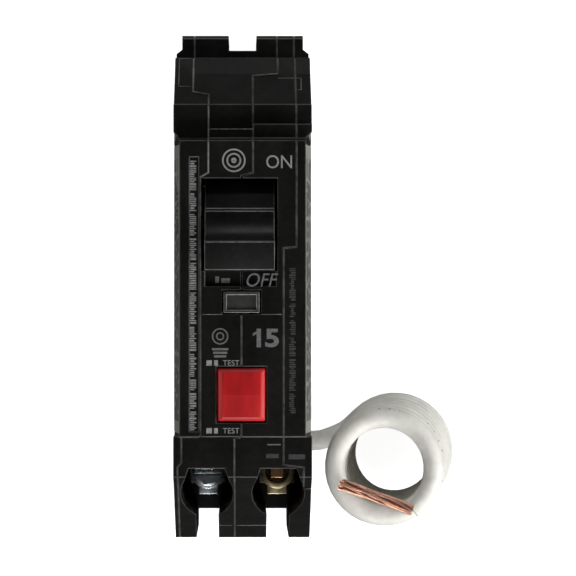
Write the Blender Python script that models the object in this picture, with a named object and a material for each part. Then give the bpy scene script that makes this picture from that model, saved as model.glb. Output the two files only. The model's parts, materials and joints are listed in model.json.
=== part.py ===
"""Single-pole ground-fault circuit breaker, as an assembly of separate pieces.

Frame: +Z out of the front face, +Y towards the line end (the handle's ON end),
+X towards the side that the neutral pigtail leaves. The origin is on the rear
face, at the centre of the case. Lengths are in metres.
"""
import math

import bmesh
import bpy
from mathutils import Matrix, Vector

MM = 0.001

# Case, overall
POLE_WIDTH = 25.4 * MM
BODY_LENGTH = 95.8 * MM
BODY_DEPTH = 57.0 * MM
SIDE_WALL = 2.8 * MM
SHELL_WALL = 2.0 * MM
SEAM = 0.2 * MM
GAP = 0.3 * MM
RUNNING_FIT = 0.08 * MM

# Line end
EAR_REACH = 5.1 * MM
EAR_HEIGHT = 24.0 * MM
EAR_CORNER = 0.6 * MM
EAR_NARROWING = 1.1 * MM
EAR_NARROW_LENGTH = 2.7 * MM
STAB_SLOT_WIDTH = 5.3 * MM
STAB_SLOT_LENGTH = 13.9 * MM
STAB_SLOT_HEIGHT = 17.0 * MM
EAR_NOTCH = 2.9 * MM

# Nose, the raised middle that shows through the panel cover
NOSE_FROM_LINE = 21.1 * MM
NOSE_FROM_LOAD = 20.1 * MM
NOSE_TOP_WIDTH = 23.0 * MM
NOSE_DRAFT = 11.0 * MM
SHOULDER_DROP = 4.0 * MM
DECK_DROP = 2.0 * MM
LEDGE_DROP = 2.0 * MM
MIDDLE_LEDGE = 1.7 * MM
RIGHT_LEDGE = 2.6 * MM
CASE_CORNER = 1.0 * MM

# Slopes at both ends, as (distance in from the end, depth under the nose face)
LINE_SLOPE = ((5.1 * MM, 21.0 * MM), (8.4 * MM, 17.0 * MM), (14.6 * MM, 7.0 * MM))
LOAD_SLOPE = ((0.0, 25.0 * MM), (10.5 * MM, 7.5 * MM))
DECK_FROM_LOAD = 12.7 * MM

# Handle
HANDLE_WIDTH = 12.7 * MM
HANDLE_CENTRE_X = -0.55 * MM
HANDLE_AXIS_FROM_LINE = 36.95 * MM
HANDLE_AXIS_DEPTH = 14.0 * MM
HANDLE_WINDOW_LENGTH = 16.9 * MM
HANDLE_SIDE_GAP = 0.55 * MM
HANDLE_TILT = math.radians(15.5)
DRUM_RADIUS = 13.6 * MM
HANDLE_REACH = 21.6 * MM
HANDLE_PIN_RADIUS = 1.5 * MM

# Contact arm and trip lever
ARM_LENGTH = 20.5 * MM
ARM_OPEN_ANGLE = math.radians(15.0)
ARM_FROM_HANDLE = Vector((0.0, 3.55 * MM, -12.0 * MM))
CRADLE_FROM_HANDLE = Vector((0.0, 16.55 * MM, -0.5 * MM))

# Inner walls
PARTITION_FROM_LINE = 53.9 * MM
PARTITION_WALL = 2.0 * MM
DECK_WALL = 1.4 * MM

# Test button and indicator
BUTTON_WIDTH = 8.6 * MM
BUTTON_LENGTH = 9.7 * MM
BUTTON_CENTRE_X = -0.2 * MM
BUTTON_FROM_NOSE_END = 7.75 * MM
BUTTON_TRAVEL = 1.5 * MM
INDICATOR_WIDTH = 6.5 * MM
INDICATOR_LENGTH = 3.8 * MM
INDICATOR_FROM_HANDLE = 14.15 * MM

# Terminals
WELL_OFFSET = 6.6 * MM
WELL_FROM_LOAD = 9.3 * MM
WELL_RADIUS = 4.85 * MM
WELL_FLAT = 5.0 * MM
WELL_FLAT_WIDTH = 6.6 * MM
WIRE_SLOT_WIDTH = 4.2 * MM
WIRE_SLOT_DEPTH = 4.3 * MM
TERMINAL_DEPTH = 35.0 * MM
TERMINAL_FLOOR_DEPTH = 43.0 * MM
PLATE_THICKNESS = 1.2 * MM
CLAMP_LIFT = 2.0 * MM

# Neutral pigtail
WIRE_DIAMETER = 3.9 * MM
COPPER_DIAMETER = 2.3 * MM
EXIT_FROM_LOAD = 17.1 * MM
EXIT_HEIGHT = 5.2 * MM
COIL_RADIUS = 9.55 * MM
COIL_FROM_SIDE = 17.7 * MM
COIL_FROM_EXIT = 2.0 * MM
COIL_LEAN = Vector((-3.5 * MM, -2.3 * MM, 0.0))
COIL_HEIGHT = 27.5 * MM

HALF_WIDTH = POLE_WIDTH / 2
LINE_Y = BODY_LENGTH / 2
LOAD_Y = -BODY_LENGTH / 2
NOSE_LINE_Y = LINE_Y - NOSE_FROM_LINE
NOSE_LOAD_Y = LOAD_Y + NOSE_FROM_LOAD
HANDLE_Y = LINE_Y - HANDLE_AXIS_FROM_LINE
HANDLE_Z = BODY_DEPTH - HANDLE_AXIS_DEPTH
ROOF_Z = BODY_DEPTH - SHELL_WALL
CAVITY_HALF = HALF_WIDTH - SIDE_WALL
PARTITION_Y = LINE_Y - PARTITION_FROM_LINE
MODULE_LINE_Y = PARTITION_Y - PARTITION_WALL
MODULE_LOAD_Y = NOSE_LOAD_Y + DECK_WALL
WELL_Y = LOAD_Y + WELL_FROM_LOAD
PLATE_TOP = BODY_DEPTH - TERMINAL_DEPTH
TERMINAL_FLOOR = BODY_DEPTH - TERMINAL_FLOOR_DEPTH
BUTTON_Y = NOSE_LOAD_Y + BUTTON_FROM_NOSE_END
INDICATOR_Y = HANDLE_Y - INDICATOR_FROM_HANDLE
SHELF_TOP = ROOF_Z - 9.0 * MM
COIL_FOOT = Vector((HALF_WIDTH + COIL_FROM_SIDE, LOAD_Y + EXIT_FROM_LOAD - COIL_FROM_EXIT, 0.0))
FAR = 20.0 * MM

# Terminal tongue and case rivets
TONGUE_HALF = 1.85 * MM
RIVETS = [
    (LINE_Y - 17.9 * MM, 8.0 * MM),
    (LINE_Y - 19.4 * MM, BODY_DEPTH - 9.2 * MM),
    (NOSE_LOAD_Y - 1.9 * MM, BODY_DEPTH - 11.0 * MM),
    (NOSE_LOAD_Y - 2.4 * MM, 11.6 * MM),
]
RIVET_RADIUS = 1.4 * MM
RIVET_HEAD = 2.3 * MM
RIVET_HEAD_HEIGHT = 0.8 * MM
SINK_DEPTH = RIVET_HEAD_HEIGHT + 0.3 * MM

# Side labels
LABEL_THICKNESS = 0.15 * MM
LABEL_POCKET = 0.35 * MM
LABEL_FOOT = 8.0 * MM
LABEL_MARGIN = 0.6 * MM

# Shelf, stem, solenoid and rail groove
SHELF_WALL = 1.2 * MM
BUTTON_STEM = 3.0 * MM
SOLENOID_HALF = 3.0 * MM
SOLENOID_X = -(CAVITY_HALF - GAP - SOLENOID_HALF)
SOLENOID_Z = 14.0 * MM
RAIL_GROOVE_FROM_LOAD = 7.9 * MM
RAIL_GROOVE_WIDTH = 5.5 * MM
RAIL_GROOVE_DEPTH = 4.5 * MM
TEXT_STRIP_DEPTH = 0.3 * MM

# Seams, and where they step
LEFT_SEAM_X = -7.7 * MM
RIGHT_SEAM_X = 7.5 * MM
LEFT_SEAM_UPPER_X = -6.25 * MM
MIDDLE_SEAM_X = 1.9 * MM
EAR_SEAM_X = 6.6 * MM
OUTER_SEAM_X = HALF_WIDTH - 2.85 * MM

# Line strap, window through the partition, pigtail bushing
JAW_STRAP_Y = LINE_Y - 9.6 * MM
STRAP_WINDOW_X = (3.9 * MM, 9.1 * MM)
BUSHING_RADIUS = 2.9 * MM

# Layers of the switching mechanism, side by side on their pins
LEG_WIDTH = 1.2 * MM
LEG_INSET = 0.3 * MM
LAYER_GAP = 0.8 * MM
CRADLE_THICKNESS = 1.4 * MM
ARM_THICKNESS = 3.2 * MM
LEG_INNER_X = HANDLE_CENTRE_X + HANDLE_WIDTH / 2 - LEG_INSET - LEG_WIDTH
CRADLE_X = (LEG_INNER_X - LAYER_GAP - CRADLE_THICKNESS, LEG_INNER_X - LAYER_GAP)
ARM_X = (CRADLE_X[0] - LAYER_GAP - ARM_THICKNESS, CRADLE_X[0] - LAYER_GAP)
ARM_HALF_HEIGHT = 1.5 * MM
CONTACT_RADIUS = 2.2 * MM
CONTACT_THICKNESS = 1.2 * MM
ARM_PIN_RADIUS = 1.2 * MM
SPRING_WIRE_REACH = 1.1 * MM

# Trip unit
ARMATURE_Y = HANDLE_Y - 10.15 * MM
ARMATURE_THICKNESS = 1.0 * MM
ARMATURE_TOP = HANDLE_Z - 2.5 * MM
ARMATURE_FOOT = SOLENOID_Z - 3.0 * MM
BIMETAL_FROM_ARMATURE = 1.4 * MM
BIMETAL_THICKNESS = 0.8 * MM
BIMETAL_HALF = 1.8 * MM
YOKE_HALF = 5.0 * MM
STRAP_Z = (3.0 * MM, 4.2 * MM)
STRAP_X = (4.5 * MM, 8.5 * MM)

# Test button
BUTTON_CROWN = 0.9 * MM
BUTTON_FLANGE = 1.2 * MM
STEM_FOOT = SHELF_TOP - SHELF_WALL - 2.3 * MM
SPRING_OUTER = 2.9 * MM

# Electronics
BOARD_X = (CAVITY_HALF - 1.7 * MM, CAVITY_HALF - 0.5 * MM)
CORE_FROM_WALL = 2.4 * MM
CORE_FROM_BOARD = 1.3 * MM
CORE_SPACING = 3.1 * MM
SENSE_SHARE = 6 / 11
BOARD_GAP = 0.3 * MM
PLUNGER_TRAVEL = 1.2 * MM

# Terminal screws and clamps
SCREW_RADIUS = 1.3 * MM
SCREW_HEAD = 2.9 * MM
SCREW_HEAD_HEIGHT = 2.2 * MM
SCREW_Y = WELL_Y + 3.0 * MM
CLAMP_FOOT = PLATE_TOP + CLAMP_LIFT
NEUTRAL_WIRE_TOP = 7.4 * MM
SADDLE_OUTER = 3.3 * MM
SADDLE_WALL = 1.1 * MM
SADDLE_HEIGHT = 4.0 * MM


# ---------------------------------------------------------------- helpers

def clear_scene():
    for obj in list(bpy.data.objects):
        bpy.data.objects.remove(obj, do_unlink=True)


def finish(name, colour, roughness, metallic=0.0):
    """A Principled material, made once for each name."""
    mat = bpy.data.materials.get(name)
    if mat is None:
        mat = bpy.data.materials.new(name)
        mat.use_nodes = True
        shader = mat.node_tree.nodes["Principled BSDF"]
        shader.inputs["Base Color"].default_value = (*colour, 1.0)
        shader.inputs["Roughness"].default_value = roughness
        shader.inputs["Metallic"].default_value = metallic
    return mat


def black_plastic():
    return finish("black_plastic", (0.012, 0.012, 0.011), 0.42)


def steel():
    return finish("steel", (0.45, 0.46, 0.47), 0.35, 1.0)


def brass():
    return finish("brass", (0.62, 0.46, 0.22), 0.35, 1.0)


def copper():
    return finish("copper", (0.72, 0.36, 0.2), 0.35, 1.0)


def silver():
    return finish("contact_silver", (0.75, 0.74, 0.7), 0.3, 1.0)


def link(name, bm, material=None):
    """Close off a bmesh as a named object with one material."""
    bmesh.ops.recalc_face_normals(bm, faces=bm.faces)
    if bm.calc_volume(signed=True) < 0:
        bmesh.ops.reverse_faces(bm, faces=bm.faces)
    mesh = bpy.data.meshes.new(name)
    bm.to_mesh(mesh)
    bm.free()
    obj = bpy.data.objects.new(name, mesh)
    bpy.context.scene.collection.objects.link(obj)
    if material is not None:
        mesh.materials.append(material)
    return obj


AXES = {
    "x": Matrix(((0, 0, 1), (1, 0, 0), (0, 1, 0))).to_4x4(),
    "y": Matrix(((0, 1, 0), (0, 0, 1), (1, 0, 0))).to_4x4(),
    "z": Matrix.Identity(4),
}


def prism(name, outline, axis, low, high, material=None):
    """Extrude a closed outline along an axis.

    The outline's two coordinates are (y, z) along x, (z, x) along y and (x, y) along z.
    """
    bm = bmesh.new()
    verts = [bm.verts.new((u, v, low)) for u, v in outline]
    face = bm.faces.new(verts)
    grown = bmesh.ops.extrude_face_region(bm, geom=[face])
    top = [g for g in grown["geom"] if isinstance(g, bmesh.types.BMVert)]
    bmesh.ops.translate(bm, verts=top, vec=(0, 0, high - low))
    bm.transform(AXES[axis])
    return link(name, bm, material)


def box(name, x, y, z, material=None):
    """A block between two limits on each axis."""
    outline = [(x[0], y[0]), (x[1], y[0]), (x[1], y[1]), (x[0], y[1])]
    return prism(name, outline, "z", z[0], z[1], material)


def circle(centre, radius, steps=24, start=0.0, sweep=math.tau):
    """Points on an arc; a full turn leaves out its last point."""
    count = steps if abs(sweep) > math.tau - 1e-6 else steps + 1
    points = []
    for i in range(count):
        angle = start + sweep * i / steps
        points.append((centre[0] + radius * math.cos(angle), centre[1] + radius * math.sin(angle)))
    return points


def rod(name, axis, centre, radius, low, high, material=None, steps=24):
    """A round bar along an axis, through a point in the plane across it."""
    return prism(name, circle(centre, radius, steps), axis, low, high, material)


def ring(name, axis, centre, outer, inner, low, high, material=None, steps=24):
    body = rod(name, axis, centre, outer, low, high, material, steps)
    hole = rod("hole", axis, centre, inner, low - 1 * MM, high + 1 * MM, None, steps)
    return combine(body, [hole], "DIFFERENCE")


def combine(obj, others, operation):
    """Apply exact Booleans to obj and remove the other operands."""
    for other in others:
        mod = obj.modifiers.new(operation.lower(), "BOOLEAN")
        mod.operation = operation
        mod.solver = "EXACT"
        mod.object = other
    graph = bpy.context.evaluated_depsgraph_get()
    mesh = bpy.data.meshes.new_from_object(obj.evaluated_get(graph))
    obj.modifiers.clear()
    old = obj.data
    mesh.name = obj.name
    obj.data = mesh
    bpy.data.meshes.remove(old)
    for other in others:
        bpy.data.objects.remove(other, do_unlink=True)
    if len(obj.data.materials) > 1:
        first = obj.data.materials[0]
        obj.data.materials.clear()
        obj.data.materials.append(first)
    return obj


def hull(name, points, material=None):
    """The convex solid around some points."""
    bm = bmesh.new()
    for point in points:
        bm.verts.new(point)
    made = bmesh.ops.convex_hull(bm, input=bm.verts)
    loose = {g for g in made["geom_interior"] + made["geom_unused"] if isinstance(g, bmesh.types.BMVert)}
    bmesh.ops.delete(bm, geom=list(loose), context="VERTS")
    return link(name, bm, material)


def offset_path(path, distance):
    """Move an open polyline sideways, to the left of its direction, with mitred corners."""
    moved = []
    for i, point in enumerate(path):
        here = Vector(point)
        before = (here - Vector(path[i - 1])).normalized() if i > 0 else None
        after = (Vector(path[i + 1]) - here).normalized() if i < len(path) - 1 else None
        first = before or after
        last = after or before
        normal = Vector((-first.y, first.x)) + Vector((-last.y, last.x))
        normal.normalize()
        stretch = normal.dot(Vector((-first.y, first.x)))
        moved.append(tuple(here + normal * (distance / stretch)))
    return moved


def smooth_path(points, pitch):
    """Points at an even pitch along a smooth curve through the given points."""
    dense = []
    for i in range(len(points) - 1):
        a = Vector(points[max(i - 1, 0)])
        b = Vector(points[i])
        c = Vector(points[i + 1])
        d = Vector(points[min(i + 2, len(points) - 1)])
        for step in range(20):
            t = step / 20
            dense.append(0.5 * ((2 * b) + (c - a) * t + (2 * a - 5 * b + 4 * c - d) * t ** 2
                                + (3 * b - a - 3 * c + d) * t ** 3))
    dense.append(Vector(points[-1]))
    length = sum((q - p).length for p, q in zip(dense, dense[1:]))
    count = max(2, round(length / pitch))
    spaced = [dense[0]]
    walked = 0.0
    for p, q in zip(dense, dense[1:]):
        step = (q - p).length
        while len(spaced) < count and walked + step >= len(spaced) * length / count:
            share = (len(spaced) * length / count - walked) / step
            spaced.append(p.lerp(q, share))
        walked += step
    spaced.append(dense[-1])
    return spaced


def tube(name, points, diameter, material, sides=2):
    """A round tube along points, as a curve with a bevel and filled caps."""
    curve = bpy.data.curves.new(name, "CURVE")
    curve.dimensions = "3D"
    curve.bevel_depth = diameter / 2
    curve.bevel_resolution = sides
    curve.use_fill_caps = True
    spline = curve.splines.new("POLY")
    spline.points.add(len(points) - 1)
    for slot, point in zip(spline.points, points):
        slot.co = (*point, 1.0)
    curve.materials.append(material)
    obj = bpy.data.objects.new(name, curve)
    bpy.context.scene.collection.objects.link(obj)
    return obj


def axis_empty(name, place):
    empty = bpy.data.objects.new(name, None)
    bpy.context.scene.collection.objects.link(empty)
    empty.location = place
    return empty


def hang_on(empty, *pieces):
    """Parent pieces to an axis empty without moving them."""
    for piece in pieces:
        piece.parent = empty
        piece.matrix_parent_inverse = Matrix.Translation(empty.location).inverted()


def turned(points, angle, pivot):
    """Turn (y, z) points about a pivot; a positive angle leans the top towards -Y."""
    cos_a = math.cos(angle)
    sin_a = math.sin(angle)
    out = []
    for y, z in points:
        out.append((pivot[0] + y * cos_a - z * sin_a, pivot[1] + y * sin_a + z * cos_a))
    return out


# ---------------------------------------------------------------- case

def case_profile():
    """The case's side view, (y, z), from the load end's rear corner, along the rear first."""
    line_slope = [(LINE_Y - inset, BODY_DEPTH - depth) for inset, depth in LINE_SLOPE]
    load_slope = [(LOAD_Y + inset, BODY_DEPTH - depth) for inset, depth in LOAD_SLOPE]
    return [
        (LOAD_Y + CASE_CORNER, 0),
        (LINE_Y - CASE_CORNER, 0),
        (LINE_Y, CASE_CORNER),
        (LINE_Y, EAR_HEIGHT - EAR_CORNER),
        (LINE_Y - EAR_CORNER, EAR_HEIGHT),
        (LINE_Y - EAR_REACH, EAR_HEIGHT),
        *line_slope,
        (line_slope[-1][0] - 0.2 * MM, BODY_DEPTH - SHOULDER_DROP),
        (NOSE_LINE_Y + RIGHT_LEDGE, BODY_DEPTH - SHOULDER_DROP),
        (NOSE_LINE_Y + RIGHT_LEDGE, BODY_DEPTH - LEDGE_DROP),
        (NOSE_LINE_Y, BODY_DEPTH - LEDGE_DROP),
        (NOSE_LINE_Y - 0.5 * MM, BODY_DEPTH),
        (NOSE_LOAD_Y + 0.1 * MM, BODY_DEPTH),
        (NOSE_LOAD_Y, BODY_DEPTH - DECK_DROP),
        (LOAD_Y + DECK_FROM_LOAD, BODY_DEPTH - DECK_DROP),
        *load_slope[::-1],
        (LOAD_Y, CASE_CORNER),
    ]


def ledge_cuts():
    """Where the ledge at the nose's foot is left off: all of it at the left, its end in the middle."""
    z = (BODY_DEPTH - SHOULDER_DROP, BODY_DEPTH - 0.5 * MM)
    over = 0.5 * MM
    end = NOSE_LINE_Y + RIGHT_LEDGE + over
    left = box("ledge_cut", (-FAR, LEFT_SEAM_UPPER_X), (NOSE_LINE_Y, end), z)
    middle = box("ledge_cut", (LEFT_SEAM_UPPER_X - over, MIDDLE_SEAM_X), (NOSE_LINE_Y + MIDDLE_LEDGE, end), z)
    return [left, middle]


def ear_side_cut(side):
    """The strip off one side that leaves the ears narrower than the case."""
    x = side * (HALF_WIDTH - EAR_NARROWING)
    end = LINE_Y - EAR_NARROW_LENGTH
    flare_end = end - 0.9 * MM
    outside = side * (HALF_WIDTH + FAR)
    outline = [(x, LINE_Y + FAR), (x, end), (side * (HALF_WIDTH + 0.1 * MM), flare_end),
               (outside, flare_end), (outside, LINE_Y + FAR)]
    return prism("ear_side", outline, "z", -FAR, EAR_HEIGHT + BODY_DEPTH)


def mechanism_room():
    """The mechanism compartment's side view, one shell wall inside the case."""
    end = LINE_Y - EAR_REACH - SHELL_WALL + 0.2 * MM
    slot_wall_y = LINE_Y - STAB_SLOT_LENGTH - SHELL_WALL + 0.2 * MM
    return [
        (PARTITION_Y, SHELL_WALL),
        (slot_wall_y, SHELL_WALL),
        (slot_wall_y, STAB_SLOT_HEIGHT + SHELL_WALL),
        (end, STAB_SLOT_HEIGHT + SHELL_WALL),
        (end, BODY_DEPTH - 22.1 * MM),
        (LINE_Y - 10.1 * MM, BODY_DEPTH - 18.4 * MM),
        (LINE_Y - 16.3 * MM, BODY_DEPTH - 8.0 * MM),
        (LINE_Y - 16.3 * MM, BODY_DEPTH - SHOULDER_DROP - SHELL_WALL),
        (NOSE_LINE_Y - 2.2 * MM, BODY_DEPTH - SHOULDER_DROP - SHELL_WALL),
        (NOSE_LINE_Y - 2.2 * MM, ROOF_Z),
        (PARTITION_Y, ROOF_Z),
    ]


def nose_side_cut(side):
    """The wedge that leaves one side of the nose drafted, with a chamfer at its line end."""
    top = NOSE_TOP_WIDTH / 2
    over = 1.0 * MM
    slope = (HALF_WIDTH - top) / NOSE_DRAFT
    root = BODY_DEPTH - NOSE_DRAFT
    points = []
    for y, flare in ((NOSE_LOAD_Y, 0.0), (NOSE_LINE_Y, 2.0 * MM)):
        points.append((side * (top - slope * over), y, BODY_DEPTH + over))
        points.append((side * (HALF_WIDTH + over), y + flare, BODY_DEPTH + over))
        points.append((side * (HALF_WIDTH + over), y + flare, root - over / slope))
        points.append((side * HALF_WIDTH, y, root))
    return hull("nose_cut", points)


def well_cut(side):
    """One terminal well with the flat at its line side, its chamber and its wire slot."""
    x = side * WELL_OFFSET
    corner = math.radians(30.0)
    flat_y = WELL_Y + WELL_FLAT
    outline = [(x + WELL_FLAT_WIDTH / 2, flat_y), (x - WELL_FLAT_WIDTH / 2, flat_y)]
    outline += circle((x, WELL_Y), WELL_RADIUS, 24, math.pi - corner, math.pi + 2 * corner)
    bore = prism("bore", outline, "z", TERMINAL_FLOOR, BODY_DEPTH + FAR)
    room_x = (x - 4.2 * MM, x + 4.2 * MM)
    room_y = (WELL_Y - 3.0 * MM, WELL_Y + 8.0 * MM)
    room = box("room", room_x, room_y, (TERMINAL_FLOOR, PLATE_TOP + 9.0 * MM))
    half = WIRE_SLOT_WIDTH / 2
    end = LOAD_Y - FAR
    upper = box("upper", (x - half, x + half), (end, WELL_Y), (TERMINAL_FLOOR, BODY_DEPTH + FAR))
    lower = box("lower", (x - half, x + half), (end, LOAD_Y + WIRE_SLOT_DEPTH), (-FAR, BODY_DEPTH + FAR))
    window_y = (WELL_Y + 7.0 * MM, MODULE_LOAD_Y + 1 * MM)
    window_z = (PLATE_TOP - PLATE_THICKNESS - 2 * GAP, PLATE_TOP + 2 * GAP)
    reach = TONGUE_HALF + 2 * GAP
    window = box("window", (x - reach, x + reach), window_y, window_z)
    return [bore, room, upper, lower, window]


def rivet_cuts():
    cuts = []
    for place in RIVETS:
        cuts.append(rod("rivet_hole", "x", place, RIVET_RADIUS + GAP, -FAR, FAR, None, 16))
        for side in (-1, 1):
            outer = side * FAR
            inner = side * (HALF_WIDTH - SINK_DEPTH)
            sink = rod("sink", "x", place, RIVET_HEAD + GAP, min(outer, inner), max(outer, inner), None, 20)
            cuts.append(sink)
    return cuts


def label_path(side):
    """The side wall's outline, (x, z), from just below the nose face to the label's foot."""
    top = NOSE_TOP_WIDTH / 2
    slope = (HALF_WIDTH - top) / NOSE_DRAFT
    return [
        (side * (top + slope * LABEL_MARGIN), BODY_DEPTH - LABEL_MARGIN),
        (side * HALF_WIDTH, BODY_DEPTH - NOSE_DRAFT),
        (side * HALF_WIDTH, LABEL_FOOT),
    ]


def label_strip(name, side, outward, inward, margin, material=None):
    """A strip that follows the side wall, between two distances from its surface."""
    path = label_path(side)
    grown = [(path[0][0], path[0][1] + margin / 2), path[1], (path[2][0], path[2][1] - margin)]
    far_line = offset_path(grown, side * outward)
    near_line = offset_path(grown, -side * inward)
    outline = [(z, x) for x, z in far_line + near_line[::-1]]
    low = NOSE_LOAD_Y + LABEL_MARGIN - margin
    high = NOSE_LINE_Y - 1.2 * MM + margin
    return prism(name, outline, "y", low, high, material)


def module_room():
    """The electronics compartment, with a shelf under the test button left standing."""
    side = (-CAVITY_HALF, CAVITY_HALF)
    y = (MODULE_LOAD_Y, MODULE_LINE_Y)
    below = box("below", side, y, (SHELL_WALL, SHELF_TOP - SHELF_WALL))
    above = box("above", side, y, (SHELF_TOP, ROOF_Z))
    reach = BUTTON_STEM / 2 + 2 * GAP
    stem_x = (BUTTON_CENTRE_X - reach, BUTTON_CENTRE_X + reach)
    stem_y = (BUTTON_Y - reach, BUTTON_Y + reach)
    stem = box("stem", stem_x, stem_y, (SHELF_TOP - SHELF_WALL - 1 * MM, SHELF_TOP + 1 * MM))
    pigtail_y = (LOAD_Y + EXIT_FROM_LOAD - 2.4 * MM, MODULE_LOAD_Y + 1 * MM)
    pigtail = box("pigtail_room", side, pigtail_y, (SHELL_WALL, 9.0 * MM))
    return [below, above, stem, pigtail]


def front_cuts():
    """The handle's window, the step below it, the button's and the lens's holes, the text strip."""
    half = HANDLE_WIDTH / 2 + HANDLE_SIDE_GAP
    window_half = HANDLE_WINDOW_LENGTH / 2
    x = (min(LEFT_SEAM_X, HANDLE_CENTRE_X - half), HANDLE_CENTRE_X + half)
    y = (HANDLE_Y - window_half, HANDLE_Y + window_half)
    up = (ROOF_Z - 1 * MM, BODY_DEPTH + FAR)
    cuts = [box("handle_window", x, y, up)]
    step_y = (y[0] - 2.8 * MM, y[0] + 1 * MM)
    step_x = (HANDLE_CENTRE_X - HANDLE_WIDTH / 2, HANDLE_CENTRE_X + HANDLE_WIDTH / 2 + GAP)
    cuts.append(box("handle_step", step_x, step_y, (BODY_DEPTH - 0.9 * MM, BODY_DEPTH + FAR)))
    bx = BUTTON_WIDTH / 2 + GAP
    by = BUTTON_LENGTH / 2 + GAP
    button_x = (BUTTON_CENTRE_X - bx, BUTTON_CENTRE_X + bx)
    cuts.append(box("button_hole", button_x, (BUTTON_Y - by, BUTTON_Y + by), up))
    ix = INDICATOR_WIDTH / 2 + GAP
    iy = INDICATOR_LENGTH / 2 + GAP
    lens_x = (BUTTON_CENTRE_X - ix, BUTTON_CENTRE_X + ix)
    cuts.append(box("lens_hole", lens_x, (INDICATOR_Y - iy, INDICATOR_Y + iy), up))
    strip_x = (-NOSE_TOP_WIDTH / 2 + 1.8 * MM, LEFT_SEAM_X - 0.3 * MM)
    strip_y = (NOSE_LOAD_Y + 1 * MM, NOSE_LINE_Y - 3.5 * MM)
    cuts.append(box("text_strip", strip_x, strip_y, (BODY_DEPTH - TEXT_STRIP_DEPTH, BODY_DEPTH + FAR)))
    return cuts


def line_cuts():
    """The stab slot between the ears, the notch that runs through them, the jaw strap's hole."""
    half = STAB_SLOT_WIDTH / 2
    x = (-half, half)
    slot = box("stab_slot", x, (LINE_Y - STAB_SLOT_LENGTH, LINE_Y + FAR), (-FAR, STAB_SLOT_HEIGHT))
    notch = box("ear_notch", x, (LINE_Y - EAR_NOTCH, LINE_Y + FAR), (-FAR, EAR_HEIGHT + 1 * MM))
    strap = box("strap_hole", x, (JAW_STRAP_Y - GAP, JAW_STRAP_Y + PLATE_THICKNESS + GAP),
                (STAB_SLOT_HEIGHT - 1 * MM, STAB_SLOT_HEIGHT + SHELL_WALL + 1 * MM))
    return [slot, notch, strap]


def seam_paths():
    """The three seams in the front view, (x, y), each from the line end to the load end."""
    top = LINE_Y + FAR
    bottom = LOAD_Y - FAR
    window_top = HANDLE_Y + HANDLE_WINDOW_LENGTH / 2
    rim_x = HALF_WIDTH - 1.5 * MM
    step = 0.7 * MM
    slope_break = LINE_Y - LINE_SLOPE[1][0]
    left = [
        (-9.2 * MM, top),
        (-9.2 * MM, LINE_Y - 12.1 * MM),
        (LEFT_SEAM_UPPER_X, LINE_Y - 12.7 * MM),
        (LEFT_SEAM_UPPER_X, window_top + 1.0 * MM),
        (LEFT_SEAM_X, window_top + 0.2 * MM),
        (LEFT_SEAM_X, NOSE_LOAD_Y),
        (-rim_x, NOSE_LOAD_Y),
        (-rim_x, NOSE_LOAD_Y - 4.8 * MM),
        (-rim_x - step, NOSE_LOAD_Y - 5.6 * MM),
        (-rim_x - step, bottom),
    ]
    middle = [
        (EAR_SEAM_X, top),
        (EAR_SEAM_X, slope_break),
        (MIDDLE_SEAM_X, slope_break - 0.4 * MM),
        (MIDDLE_SEAM_X, window_top + 1.0 * MM),
        (-0.2 * MM, window_top + 0.4 * MM),
        (-0.2 * MM, NOSE_LOAD_Y),
        (-1.5 * MM, NOSE_LOAD_Y - 0.3 * MM),
        (-1.5 * MM, bottom),
    ]
    right = [
        (OUTER_SEAM_X, top),
        (OUTER_SEAM_X, HANDLE_Y - 4.1 * MM),
        (RIGHT_SEAM_X, HANDLE_Y - 4.3 * MM),
        (RIGHT_SEAM_X, NOSE_LOAD_Y - 5.2 * MM),
        (rim_x, NOSE_LOAD_Y - 5.7 * MM),
        (rim_x, NOSE_LOAD_Y - 9.8 * MM),
        (FAR, NOSE_LOAD_Y - 9.8 * MM),
    ]
    return left, middle, right


def region(name, outline):
    return prism(name, outline, "z", -FAR, BODY_DEPTH + FAR)


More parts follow.
